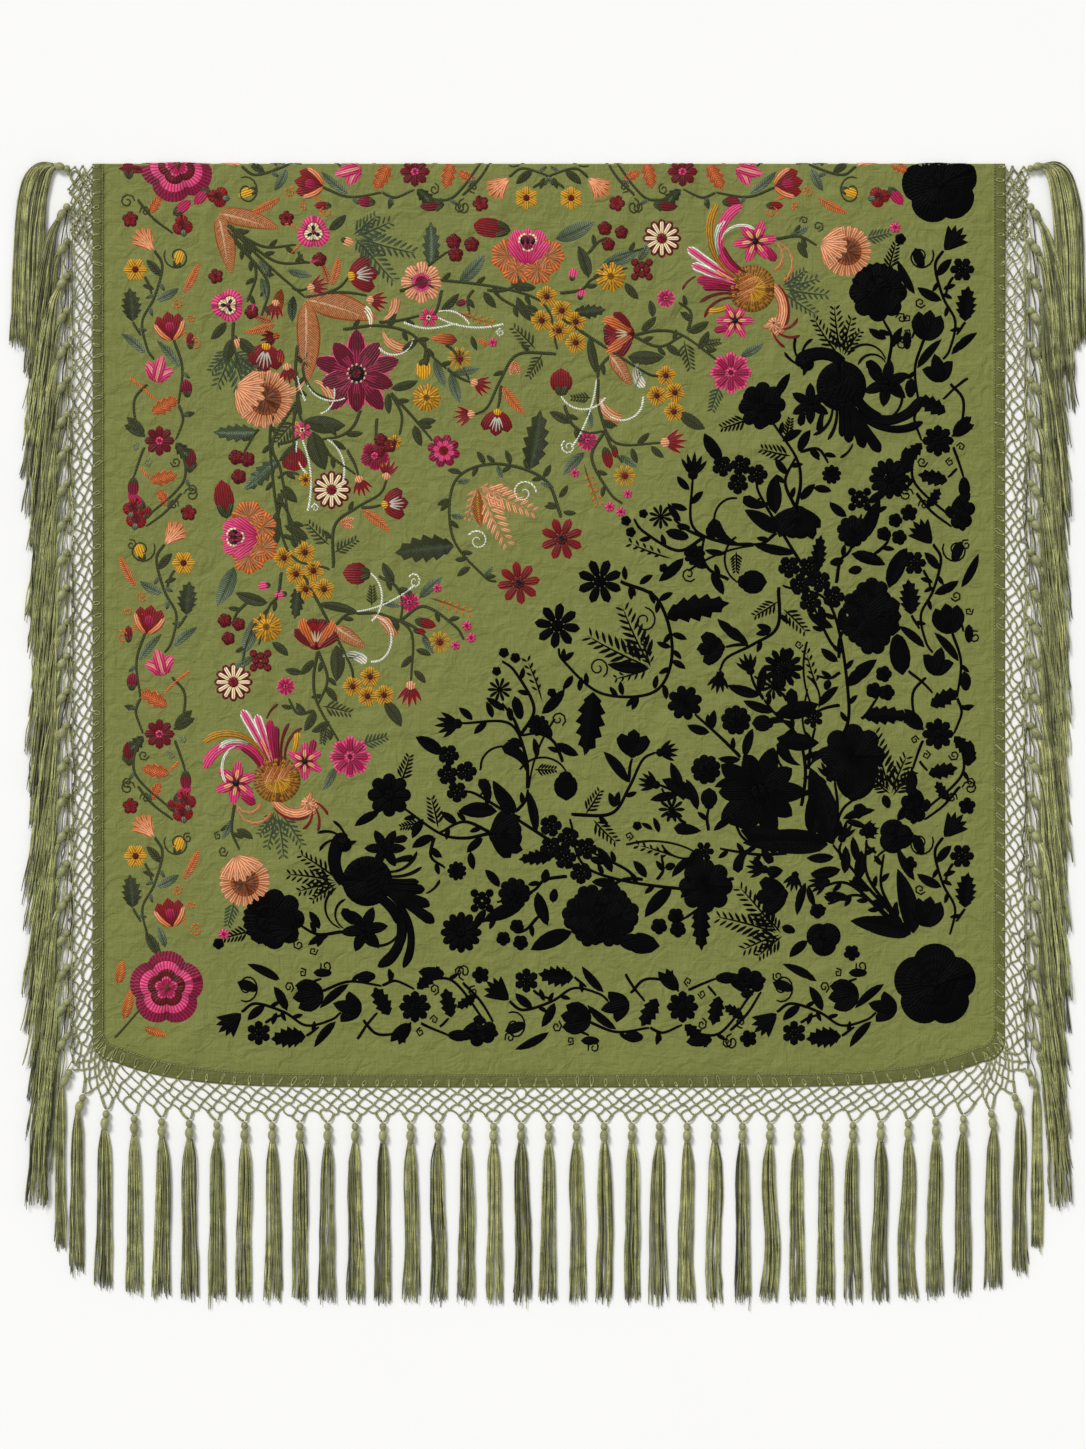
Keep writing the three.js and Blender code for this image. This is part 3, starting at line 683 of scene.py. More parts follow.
# the loops are painted a little paler than the net as a painted highlight, and their knots paler still as a
# brighter painted highlight
loop_painted_highlight = np.full((len(loop_points), 3), 1.12)
loop_painted_highlight[len(loops[0]):] = 1.5
net_loops = put_mesh("net_loops_over_hem", loop_points, loop_faces, net_silk, dye_and_painted_light=loop_painted_highlight)
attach(net_loops, "root")


# The tassels: a knot, a bead wound with silk and a skirt of twisted silk strands, tied to the
# net's outer knots. Those of the sides lie down along the sides, over one another.
TASSEL_LENGTH = 270.0
HEAD_LENGTH = 30.0
SKIRT_STEPS = 14
# along the head: share of its length, radius
HEAD_PROFILE = np.array([
    (0, 0.8), (0.03, 3.2), (0.09, 4.9), (0.19, 5.6), (0.29, 5.1), (0.36, 3.6), (0.39, 3.3), (0.43, 4.2),
    (0.52, 6.0), (0.64, 6.7), (0.76, 6.4), (0.88, 5.2), (0.95, 4.1), (1.0, 3.9), (1.06, 3.6),
])
# for the strands and the bead, the light colour is the painted highlight along the turns and the dark one
# the painted shade between them
tassel_silk = twisted_silk("twisted_silk_strands_olive", "#a5a670", "#585b34", roughness=0.4)
bead_silk = twisted_silk("silk_wound_bead_olive", "#a9aa78", "#74764a", roughness=0.4)


def tassel_head(root, hang):
    """A surface turned about the line from the root along the hang, its radius from HEAD_PROFILE."""
    along = np.linspace(0, HEAD_PROFILE[-1, 0], 20)
    radius = np.interp(along, HEAD_PROFILE[:, 0], HEAD_PROFILE[:, 1])
    centre = np.zeros((1, len(along), 3))
    centre[0, :, :2] = root + hang * along[:, None] * HEAD_LENGTH
    centre[0, :, 2] = 0.4 + np.maximum(radius, 4.6)
    return tubes(centre, radius, 9)


def skirt(centre, high, half, thick, count, spread_at_end, rough):
    """The strands of a tassel. Each keeps a place a in -1..1 across and b in -1..1 through the skirt. Its
    line is centre + side * (a * half + wave) and high + b * thick, with a wave of two sines that grows
    towards the end, and its own length. Lower down the strands draw together into five locks."""
    m = len(centre)
    q = np.linspace(0, 1, m)
    ahead = np.gradient(centre, axis=0)
    ahead /= np.linalg.norm(ahead, axis=1, keepdims=True)
    side = np.stack([-ahead[:, 1], ahead[:, 0]], -1)
    a = np.linspace(-1, 1, count) + rng.normal(0, 0.09, count)
    rng.shuffle(a)
    b = rng.uniform(-1, 1, count)
    drift = rng.normal(0, spread_at_end, count)
    phase = rng.uniform(0, 2 * np.pi, (2, count, 1))
    long = rng.uniform(0.32, 0.75, (2, count, 1))
    swing = rng.uniform(0.3, 1.0, (2, count, 1)) * rough
    slow = swing[0] * np.sin(q * 2 * np.pi / long[0] + phase[0])
    quick = swing[1] * 0.5 * np.sin(q * 4 * np.pi / long[1] + phase[1])
    wave = (slow + quick) * (0.15 + 0.85 * q)
    lock = np.clip(((a + 1) * 2.5).astype(int), 0, 4)
    middle = (lock + 0.5) / 2.5 - 1 + rng.normal(0, 0.07, 5)[lock]
    gather = 0.62 * smooth(0.15, 0.7, q)
    place = a[:, None] + (middle - a)[:, None] * gather
    # each strand's distance from the skirt's middle line
    across = (place + drift[:, None] * q * q) * half + wave * smooth(0, 0.12, q)
    paths = np.zeros((count, m, 3))
    paths[:, :, :2] = centre[None] + side[None] * across[..., None]
    paths[:, :, 2] = high + b[:, None] * thick * np.sqrt(np.clip(1 - 0.75 * a[:, None] ** 2, 0.1, 1))
    last = ahead[-1] * rng.normal(0, 5.5, (count, 1))
    paths[:, -1, :2] += last
    paths[:, -2, :2] += last * 0.35
    paths[:, :, 2] = np.maximum(paths[:, :, 2], 1.1)
    radius = np.full((count, m), 1.2) * rng.uniform(0.8, 1.15, (count, 1))
    radius[:, -1] *= 0.55
    points, faces = tubes(paths, radius, 3)
    # painted shade and painted highlight: strands deeper in the skirt, under the others, are painted darker
    # as painted shade; the random brightness of each strand and lock is partly the silk's own varied tone
    # and partly painted shadow among the strands and painted highlight on some
    shade = np.clip(rng.normal(1.06, 0.5, count) + 0.34 * b + rng.normal(0, 0.26, 5)[lock], 0.16, 2.1)
    dye_and_painted_light = np.repeat(np.stack([shade, shade, shade * rng.uniform(0.9, 1.04, count)], -1), m * 3, axis=0)
    return points, faces, dye_and_painted_light


def lower_skirt_line(root, hang):
    """The middle of a lower tassel's skirt: from the bead straight down the picture, with a slight bow."""
    start = root + hang * (HEAD_LENGTH - 1)
    q = np.linspace(0, 1, SKIRT_STEPS) ** 1.1
    drop = start[1] - (root[1] - TASSEL_LENGTH)
    bow = rng.normal(0, 1.2) * np.sin(np.pi * q) + rng.normal(0, 1.0) * np.sin(2 * np.pi * q)
    lead = hang[0] * 9 * (1 - np.exp(-q * 12))
    return np.stack([start[0] + lead * 0.4 + bow, start[1] - drop * q], -1), q


heads = {"left": [], "bottom": [], "right": []}
skirts = {"left": [], "bottom": [], "right": []}
for i, root in enumerate(roots):
    hang = np.array([0.0, -1.0]) + 0.65 * outward[i]
    hang /= np.linalg.norm(hang)
    centre, q = lower_skirt_line(root, hang)
    heads["bottom"].append(tassel_head(root, hang))
    # half the room that a tassel has beside its neighbours: narrow ones hang round the corners
    last = LOWER_TASSELS - 1
    room = abs(roots[min(i + 1, last), 0] - roots[max(i - 1, 0), 0]) / (2 if 0 < i < last else 1) / 2
    fullness = min(1.0, (room - 2) / 12.5)
    half = np.interp(q, [0, 0.05, 0.13, 0.3, 0.6, 1], [3.0, 5.4, 8.2, 9.8, 11.6, 13.4]) * fullness
    thick = np.interp(q, [0, 0.2, 1], [2.8, 3.0, 2.0])
    high = np.interp(q, [0, 0.2, 1], [4.9, 4.5, 3.3])
    skirts["bottom"].append(skirt(centre, high, half, thick, 27, 0.13, 1.5))

SIDE_TASSELS = 26
SIDE_PITCH = 53.0
FIRST_TASSEL = 8.5
for word, side in (("left", -1.0), ("right", 1.0)):
    for i in range(1, SIDE_TASSELS):
        root = np.array([side * (NET_EDGE[0] + ROOT_OUT), FOLD_Y - FIRST_TASSEL - SIDE_PITCH * i])
        q = np.linspace(0, 1, SKIRT_STEPS)
        hang = np.array([0.65 * side, -1.0]) / math.hypot(0.65, 1)
        start = root + hang * (HEAD_LENGTH - 2)
        sway = rng.normal(0, 3.0)
        drift = 33 + 24 * math.exp(-i) + sway
        x = start[0] + side * drift * q**0.6 + side * rng.normal(0, 2.0) * np.sin(np.pi * q)
        centre = np.stack([x, start[1] - (TASSEL_LENGTH - HEAD_LENGTH) * q], -1)
        half = np.interp(q, [0, 0.05, 0.15, 0.4, 1], [2.8, 4.6, 7.6, 12.8, 17.0])
        layer = 3.4 if i % 2 == 0 else 7.6
        high = np.interp(q, [0, 0.25, 1], [4.9, layer + 0.6, layer])
        heads[word].append(tassel_head(root, hang))
        skirts[word].append(skirt(centre, high, half, 2.3, 26, 0.18, 2.4))
        # a few strands that lie loose beside the net
        if i < SIDE_TASSELS - 1:
            step = np.arange(8)
            x = root[0] + side * np.interp(step, [0, 3, 7], [0, 3, 8])
            loose = np.stack([x, root[1] - 8 - step * 17.0], -1)
            half = np.interp(step, [0, 2, 7], [2.0, 8.0, 13.0])
            skirts[word].append(skirt(loose, 5.2, half, 2.0, 3, 0.3, 4.0))

# At the fold each side's first tassels hang over the top of the net in one bunch: they leave
# its corner outwards, arch over and come down beside the others.
# x and y of each arch's middle line on the right
ARCHES = np.array([
    [(760, 866.4), (774, 868.2), (789, 862.5), (801, 840), (808, 800), (812, 729), (814, 660), (816, 597)],
    [(758, 865.5), (769, 866.0), (780, 858.0), (789, 830), (795, 790), (799, 722), (801, 655), (802, 590)],
    [(756, 864.0), (764, 861.0), (771, 846.0), (777, 815), (782, 775), (786, 706), (788, 640), (789, 575)],
])
for word, side in (("left", -1.0), ("right", 1.0)):
    root = np.array([side * (NET_EDGE[0] + ROOT_OUT), FOLD_Y - FIRST_TASSEL])
    hang = np.array([side * 0.97, 0.24])
    hang /= np.linalg.norm(hang)
    heads[word].append(tassel_head(root - hang * 2, hang * 0.8))
    for level, arch in enumerate(ARCHES):
        part = np.linspace(0, 1, len(arch))
        q = np.linspace(0, 1, SKIRT_STEPS + 6)
        centre = np.stack([side * np.interp(q, part, arch[:, 0]), np.interp(q, part, arch[:, 1])], -1)
        for _ in range(2):
            centre[1:-1] = (centre[:-2] + 2 * centre[1:-1] + centre[2:]) / 4
        half = np.interp(q, [0, 0.12, 0.3, 0.6, 1], [2.4, 3.6, 6.0, 8.6, 9.6])
        high = np.interp(q, [0, 0.2, 1], [5.2, 6.5, 5.0 + 0.6 * level])
        skirts[word].append(skirt(centre, high, half, 2.2, 25, 0.18, 2.2))

for word in ("left", "bottom", "right"):
    halves = [skirts[word]]
    if word == "bottom":
        halves = [skirts[word][:19], skirts[word][19:]]
    for number, half_of in enumerate(halves):
        name = f"tassel_strands_{word}" if len(halves) == 1 else f"tassel_strands_{word}_{number + 1}"
        points, faces = joined([(p, f) for p, f, _ in half_of])
        # each strand's colour, with its painted shade and painted highlight
        dye_and_painted_light = np.concatenate([d for _, _, d in half_of])
        strands = put_mesh(name, points, faces, tassel_silk, dye_and_painted_light=dye_and_painted_light)
        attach(strands, "root")
        if number == 0:
            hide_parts(f"fringe_{word}")
    points, faces = joined(heads[word])
    beads = put_mesh(f"tassel_beads_{word}", points, faces, bead_silk, dye_and_painted_light=np.ones((len(points), 3)))
    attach(beads, "root")


# The embroidery: flowers, leaves and birds in satin stitch, floss laid side by side over the silk
# so that each petal stands up a millimetre. Two facing quarters are in colour, two in black.
DYES = {
    "wine": "#650622", "crimson": "#8d0d3a", "pink": "#e8497f", "magenta": "#b3164f",
    "dark_red": "#66070f", "red": "#8c0c12", "salmon": "#b9733f", "pale_salmon": "#f3c49a",
    "peach": "#eca072", "orange": "#d9702f", "rust": "#a04a20", "gold": "#c18a18", "dark_gold": "#8a5d12",
    "yellow": "#dfa31c", "brown": "#6e3812", "olive": "#3a3f1b", "dark_olive": "#262a12",
    "grey_green": "#414f33", "teal": "#76856a", "white": "#e6ead6", "cream": "#f3dcae",
    "black": "#080808",
}
DYE = {name: np.array(linear(colour)[:3]) for name, colour in DYES.items()}
rng = np.random.default_rng(23)


def dyed(name, shape):
    """One dye for every point of a shape."""
    return np.broadcast_to(DYE[name], (*shape, 3)).copy()


def blend(first, second, share):
    """first * (1 - share) + second * share, for each point."""
    share = np.asarray(share, float)[..., None]
    return first * (1 - share) + second * share


def petal(at, turn, length, width, inner, outer, edge=None, vein=None, belly=0.8, tip=0.4, bend=0.0,
          lift=0.9, rows=7, teeth=0, slant=False, fine=True):
    """A patch from `at` along the direction `turn`. Half its width is width / 2 * t^belly * (1 - t)^tip,
    scaled to reach width / 2, and toothed if asked. Its middle line turns by `bend` on the way. It is
    raised by lift * sqrt(1 - s^2) and sunk into the silk at its edge. Its threads run along it, or slant
    from its middle."""
    if teeth:
        rows = 2 * teeth + 2
    t = np.linspace(0, 1, rows)
    if not fine:
        s = np.array([-1, -0.7, 0, 0.7, 1.0])
    elif edge:
        s = np.array([-1, -0.84, -0.8, 0, 0.8, 0.84, 1.0])
    else:
        s = np.array([-1, -0.8, -0.3, 0, 0.3, 0.8, 1.0])
    peak = (belly / (belly + tip)) ** belly * (tip / (belly + tip)) ** tip
    half = width / 2 * t**belly * (1 - t) ** tip / peak
    if teeth:
        half[1:-1] *= np.where(np.arange(1, rows - 1) % 2 == 1, 1.12, 0.72)
    turn = math.radians(turn)
    bend = math.radians(bend) or 1e-4
    heading = turn - bend / 2 + bend * t
    x = at[0] + length * (np.sin(heading) - math.sin(heading[0])) / bend
    y = at[1] - length * (np.cos(heading) - math.cos(heading[0])) / bend
    normal = np.stack([-np.sin(heading), np.cos(heading)], -1)
    swept = half[:, None] * s[None]
    points = np.stack([x, y], -1)[:, None] + normal[:, None] * swept[..., None]
    if teeth:
        ahead = np.stack([np.cos(heading), np.sin(heading)], -1)
        odd = (np.arange(rows) % 2)[:, None, None]
        points += ahead[:, None] * (np.abs(s)[None, :, None] ** 2 * odd * width * 0.12)
    swell = np.sin(np.pi * np.clip(0.12 + 0.8 * t, 0, 1))[:, None] ** 0.5
    high = lift * np.sqrt(np.clip(1 - s[None] ** 2, 0, 1)) * swell
    high = np.where(np.abs(s)[None] > 0.99, -0.25, high)
    high[0] = high[-1] = -0.1
    if vein:
        high[1:-1, len(s) // 2] -= 0.3
    dye_and_painted_light = blend(DYE[inner], DYE[outer], np.broadcast_to(t[:, None] ** 1.1, high.shape))
    if edge:
        dye_and_painted_light = blend(dye_and_painted_light, DYE[edge], np.broadcast_to((np.abs(s) > 0.82)[None] * 1.0, high.shape))
    if vein:
        dye_and_painted_light = blend(dye_and_painted_light, DYE[vein], np.broadcast_to((np.abs(s) < 0.05)[None] * 0.85, high.shape))
    if slant:
        uv = np.stack([t[:, None] * length - 0.9 * np.abs(swept), swept], -1)
    else:
        uv = np.stack([swept + 0.0 * t[:, None], t[:, None] * length + 0 * swept], -1)
    return (points.reshape(-1, 2), high.ravel(), uv.reshape(-1, 2), dye_and_painted_light.reshape(-1, 3),
            grid_faces(rows, len(s)))


def blossom(at, radius, lobes, rings, depth=0.18, turn=0.0, lift=0.9, steps=6):
    """A flower head seen from above: rings of colour out to radius * (1 - depth + depth *
    |cos(lobes * a / 2)|^0.7). Its threads run outwards, and it dips between the lobes, where its colour
    is painted darker as painted shade; with one lobe that is one side of the head."""
    around = max(lobes * steps, 12)
    a = np.arange(around) * 2 * np.pi / around
    lobe = np.abs(np.cos(lobes * a / 2)) ** 0.7
    shares = np.array([share for share, _ in rings])
    reach = shares[:, None] * (1 - depth * smooth(0.15, 0.5, shares)[:, None] * (1 - lobe[None]))
    turned = a + math.radians(turn)
    points = radius * reach[..., None] * np.stack([np.cos(turned), np.sin(turned)], -1)[None] + at
    high = lift * (0.45 + 0.55 * np.sqrt(np.clip(1 - (shares[:, None] * 1.2 - 0.55) ** 2, 0, 1)))
    high = high * (0.55 + 0.45 * lobe[None])
    high[-1] = -0.25
    # painted shade: the colour is darker where the head dips between its lobes, and with one lobe on one
    # side of it
    dye_and_painted_light = np.array([DYE[name] for _, name in rings])[:, None] * (0.62 + 0.38 * lobe[None, :, None])
    uv = np.stack([radius * 0.62 * a[None] + 0 * reach, radius * reach], -1)
    faces = grid_faces(len(rings), around, wrap=True)
    return points.reshape(-1, 2), high.ravel(), uv.reshape(-1, 2), dye_and_painted_light.reshape(-1, 3), faces


def rings_of(*bands):
    """Rings with crisp borders from (outer share, dye) bands, from the middle outwards."""
    rings, start = [(0.0, bands[0][1])], 0.0
    for share, name in bands:
        if start:
            rings.append((start + 0.02, name))
        rings.append((share, name))
        start = share
    rings.insert(-1, (0.93 * start, bands[-1][1]))
    return rings


def along_curve(points, count):
    """A smooth curve through points: a Catmull-Rom spline, count points in all."""
    points = np.asarray(points, float)
    full = np.concatenate([[2 * points[0] - points[1]], points, [2 * points[-1] - points[-2]]])
    place = np.linspace(0, len(points) - 1, count)
    i = np.minimum(place.astype(int), len(points) - 2)
    f = (place - i)[:, None]
    a, b, c, d = full[i], full[i + 1], full[i + 2], full[i + 3]
    return 0.5 * (2 * b + (c - a) * f + (2 * a - 5 * b + 4 * c - d) * f**2
                  + (3 * b - 3 * c + d - a) * f**3)


def curve_frame(points, step, least):
    """A smooth curve with a point about every step, the directions across it, and its run as a column."""
    points = np.asarray(points, float)
    length = np.linalg.norm(np.diff(points, axis=0), axis=1).sum()
    count = max(least, int(length / step))
    line = along_curve(points, count)
    ahead = np.gradient(line, axis=0) * (1, -1)
    ahead /= np.linalg.norm(ahead, axis=1, keepdims=True) + 1e-9
    return line, np.stack([-ahead[:, 1], ahead[:, 0]], -1), np.linspace(0, length, count)[:, None]


def stem(points, dye_and_painted_light="olive", wide=2.6, thin=1.6):
    """A ribbon of slanting stitches along a smooth curve, raised in its middle, wide at its root and
    thin at its tip. Points are on the picture, so each keeps its own place there."""
    line, normal, run = curve_frame(points, 3.2, 4)
    half = np.linspace(wide, thin, len(line)) / 2
    s = np.array([-1.0, -0.5, 0.5, 1.0])
    across = half[:, None] * s[None]
    offsets = normal[:, None] * across[..., None]
    high = np.broadcast_to(np.array([-0.25, 0.8, 0.8, -0.25]), across.shape).copy()
    high[0] = high[-1] = -0.1
    uv = np.stack([run + 0.8 * s[None] * half[:, None], across + 0 * run], -1)
    return (np.repeat(line, 4, axis=0), offsets.reshape(-1, 2), high.ravel(), uv.reshape(-1, 2),
            dyed(dye_and_painted_light, (high.size,)), grid_faces(*high.shape))


def curl(at, radius, turn, dye_and_painted_light, way):
    """A spiral tendril of 1.35 turns that ends at its middle: radius * (1 - 0.82 share), as a ribbon in
    the picture's plane."""
    share = np.linspace(0, 1, 21)
    a = math.radians(turn) + way * share * 1.35 * 2 * np.pi
    r = radius * (1 - 0.82 * share)
    line = np.stack([at[0] + r * np.cos(a), at[1] - r * np.sin(a)], -1)
    return stem(line, dye_and_painted_light, 2.0, 1.5)


def polar(radius, degrees):
    """The place at a radius and an angle round (0, 0)."""
    return radius * math.cos(math.radians(degrees)), radius * math.sin(math.radians(degrees))


def fan(leans, at, size, long, width, inner, outer, less=0.0, bow=0.0, **more):
    """Petals that spread from one place, one to a lean. Each is size * (long - less * |lean|) long and
    turns by bow * lean on its way."""
    return [petal(at, lean, size * (long - less * abs(lean)), width, inner, outer, bend=bow * lean, **more)
            for lean in leans]


def disc(at, radius, *bands, lift=0.9, steps=10):
    """A plain round head with bands of colour from its middle outwards."""
    return blossom(at, radius, 1, rings_of(*bands), depth=0, lift=lift, steps=steps)


def knot(at, radius, dye_and_painted_light, lift=1.1):
    """A French knot: a small dome."""
    return blossom(at, radius, 1, [(0.0, dye_and_painted_light), (0.6, dye_and_painted_light), (1.0, dye_and_painted_light)], depth=0, lift=lift, steps=8)


def leaf(size, width=None, inner="olive", outer="olive", vein="dark_olive", bend=18):
    """One leaf, its two halves stitched slanting from the vein."""
    return [petal((0, 0), 0, size, width or size * 0.42, inner, outer, vein=vein, belly=0.75, tip=0.85,
                  bend=bend, slant=True)]


def grey_leaf(size, width=None):
    """A narrow leaf in two grey greens with a pale vein."""
    return leaf(size, width or size * 0.34, "grey_green", "teal", "olive", 14)


def toothed_leaf(size, width=None, inner="dark_olive", outer="olive", vein="grey_green"):
    """A broad leaf with a toothed edge."""
    return [petal((0, 0), 0, size, width or size * 0.45, inner, outer, vein=vein, belly=0.55, tip=0.75,
                  bend=8, teeth=5, slant=True)]


def lacy_leaf(size):
    """A lacy leaf: short toothed lobes in open stitches."""
    return [petal((0, 0), 0, size, size * 0.55, "rust", "rust", edge="orange", vein="orange", belly=0.5,
                  tip=0.6, teeth=4, slant=True)]


def fern(size, dye_and_painted_light="grey_green", pairs=6, wide=0.42):
    """A frond: a thin midrib with pairs of small leaflets that shorten towards its tip."""
    made = [petal((0, 0), 0, size, 2.0, dye_and_painted_light, dye_and_painted_light, belly=0.1, tip=0.4, bend=10, fine=False)]
    for i in range(pairs):
        share = 0.16 + 0.74 * i / (pairs - 1)
        long = size * wide * (1 - 0.62 * share)
        for way in (-1, 1):
            lean = way * 46 - 5 + 10 * share
            made.append(petal((size * share, 0.4 * way), lean, long, max(2.2, long * 0.26), dye_and_painted_light, dye_and_painted_light,
                              belly=0.7, tip=0.7, rows=5, lift=0.7, fine=False))
    return made


def plume_leaf(size, width):
    """A large soft leaf with pale herringbone stitches from its midrib."""
    made = [
        petal((0, 0), 0, size, width, "salmon", "salmon", edge="rust", belly=0.55, tip=0.85, bend=-14,
              rows=12, slant=True),
        petal((0, 0), -2, size * 0.84, 2.4, "pale_salmon", "pale_salmon", belly=0.1, tip=0.5, bend=-11,
              rows=8, lift=1.35, fine=False),
    ]
    for i in range(8):
        share = 0.12 + 0.095 * i
        reach = width * 0.46 * math.sin(math.pi * min(1, share + 0.14)) ** 0.7
        for way in (-1, 1):
            at = (size * share, way * 0.6 + size * 0.05 * (0.25 - (share - 0.5) ** 2))
            made.append(petal(at, way * 38 + 8 - 22 * share, reach * 1.25, 1.3, "pale_salmon", "salmon",
                              rows=4, lift=1.3, belly=0.3, tip=0.6, fine=False))
    return made


def bud(size, width=None, dye_and_painted_light="crimson"):
    """A closed bud in a green cup."""
    width = width or size * 0.5
    inner = "dark_red" if dye_and_painted_light in ("crimson", "red") else dye_and_painted_light
    return [petal((0, 0), 0, size, width, inner, dye_and_painted_light, belly=0.55, tip=0.6, rows=6)] + fan(
        (24, -24), (-0.06 * size, 0), size, 0.5, width * 0.36, "olive", "olive", belly=0.6, tip=0.7, rows=5,
        fine=False, lift=1.2)


def tulip(size):
    """A closed flower from the side: a full cup, long pale stitches fanned over it, and a small bright
    base."""
    return [
        *fan((30, -30), (0, 0), size, 0.94, size * 0.5, "red", "dark_red", bow=-1.1, belly=0.6, tip=0.32),
        petal((0, 0), 0, size, size * 0.5, "red", "dark_red", belly=0.6, tip=0.32),
        *fan((-26, -13, 0, 13, 26), (size * 0.16, 0), size, 0.78, 1.9, "white", "white", less=0.006,
             bow=-0.8, rows=5, lift=1.5, belly=0.2, tip=0.5, fine=False),
        petal((-size * 0.08, 0), 0, size * 0.3, size * 0.34, "yellow", "yellow", belly=0.4, rows=5,
              lift=1.6),
    ]


def crown(size, spikes="dark_red", tips="red", base="peach"):
    """A half-open flower: a small cup with pointed petals, each with a bright edge."""
    return [
        *fan((-40, -20, 0, 20, 40), (size * 0.16, 0), size, 0.92, size * 0.22, spikes, tips, less=0.003,
             bow=-0.4, edge=base, belly=0.5, tip=0.8, rows=6),
        petal((-size * 0.08, 0), 0, size * 0.46, size * 0.42, base, base, belly=0.5, tip=0.5, rows=5,
              lift=1.3),
    ]


def lily(size, inner="peach", outer="orange", spread=64, count=5, wide=0.27):
    """Slender petals that open in a fan, the outer ones curved back."""
    made = []
    for i in range(count):
        lean = -spread / 2 + spread * i / (count - 1)
        made.append(petal((0, 0), lean * 0.7, size * (1.06 - 0.003 * abs(lean)), size * wide, inner, outer,
                          vein="pale_salmon", belly=0.6, tip=0.75, bend=lean * 0.9,
                          lift=1.4 - 0.008 * abs(lean)))
    return made


def closed_tulip(size):
    """A tulip in bud: dark red petals between two peach ones, with a magenta heart."""
    return [
        *fan((22, -22), (0, 0), size, 0.96, size * 0.46, "dark_red", "red", bow=-1, belly=0.6, tip=0.5),
        petal((0, 0), 0, size, size * 0.46, "dark_red", "red", belly=0.6, tip=0.5),
        petal((size * 0.2, 0), 0, size * 0.5, size * 0.3, "crimson", "magenta", edge="pink", belly=0.6,
              tip=0.6, rows=6, lift=1.6),
        *fan((36, -36), (0, 0), size, 0.86, size * 0.22, "orange", "peach", bow=-1.5, belly=0.7, tip=0.6,
             lift=1.5),
    ]


def paisley(size, inner="peach", outer="salmon"):
    """A curved drop that rolls over at its end."""
    return [petal((0, 0), 0, size, size * 0.36, inner, outer, vein="pale_salmon", belly=1.1, tip=0.35,
                  bend=85, rows=9)]


def daisy(size, petals=8, inner="dark_red", outer="red", centre="yellow", eye="brown", narrow=0.62,
          turn=0.0, edge=None):
    """Separate petals round a knotted eye, over a disc in the edge's dye if there is one."""
    made = []
    if edge:
        rings = rings_of((0.5, edge), (1.0, edge))
        made.append(blossom((0, 0), size, petals, rings, depth=0.2, turn=turn, lift=0.4))
        size *= 0.94
    width = 2 * math.pi * size * 0.62 / petals * narrow
    for i in range(petals):
        lean = turn + 360 * i / petals
        made.append(petal(polar(size * 0.16, lean), lean, size * 0.84, width, inner, outer, belly=0.55,
                          tip=0.36, rows=6))
    made.append(disc((0, 0), size * 0.27, (0.5, eye), (1.0, centre), lift=1.5))
    return made


def yellow_flower(size):
    """Five full gold petals round a dark red eye."""
    return daisy(size * 1.22, 5, "dark_gold", "yellow", "dark_red", "dark_red", narrow=1.12, turn=18)


def sunburst(size):
    """Many short yellow rays round a red middle."""
    return daisy(size, 10, "dark_gold", "yellow", "red", "dark_red", narrow=0.7)


def fluffy(size, dye_and_painted_light="pink", petals=9):
    """A round flower of looped petals: crimson with a bright outline each, and a ringed middle."""
    return daisy(size * 1.06, petals, "crimson", "magenta", dye_and_painted_light, "dark_red", narrow=0.86, edge=dye_and_painted_light)


def round_flower(size, lobes=5, outer="dark_red", inner="red", centre="dark_red"):
    """A small round flower of full petals."""
    rings = rings_of((0.28, centre), (0.62, inner), (1.0, outer))
    return [blossom((0, 0), size, lobes, rings, depth=0.26, turn=20)]


def poinsettia(size):
    """Ten pointed crimson petals with pink outlines and pink streaks, round a dark eye ringed with cream
    knots."""
    made = []
    for long, lift, turn in ((1.0, 0.8, 18), (0.86, 1.3, 54)):
        for lean in range(turn, turn + 360, 72):
            made.append(petal((0, 0), lean, size * long, size * 0.47, "wine", "wine", edge="pink",
                              belly=0.7, tip=0.7, rows=11, lift=lift))
            made += fan((lean - 8, lean, lean + 8), (0, 0), size * long, 0.66, 1.5, "magenta", "pink",
                        rows=5, lift=lift + 0.6, belly=0.5, tip=0.5, fine=False)
    made.append(disc((0, 0), size * 0.19, (0.5, "dark_red"), (1.0, "black"), lift=2.0, steps=12))
    made += [knot(polar(size * 0.2, 30 * i), 1.7, "cream", lift=2.3) for i in range(12)]
    return made


def rose(size):
    """An open rose in five rounds of five full petals, from a crimson rim to a pink heart with a brown
    eye."""
    made = []
    for share, inner, outer, depth, lift in (
        (1.0, "dark_red", "crimson", 0.15, 0.8), (0.9, "crimson", "crimson", 0.15, 1.1),
        (0.76, "pink", "pink", 0.16, 1.4), (0.54, "dark_red", "dark_red", 0.18, 1.8),
        (0.33, "magenta", "pink", 0.32, 2.1),
    ):
        rings = rings_of((0.75, inner), (1.0, outer))
        made.append(blossom((0, 0), size * share, 5, rings, depth=depth, turn=18, lift=lift, steps=10))
    made.append(disc((0, 0), size * 0.1, (1.0, "brown"), lift=2.6))
    return made


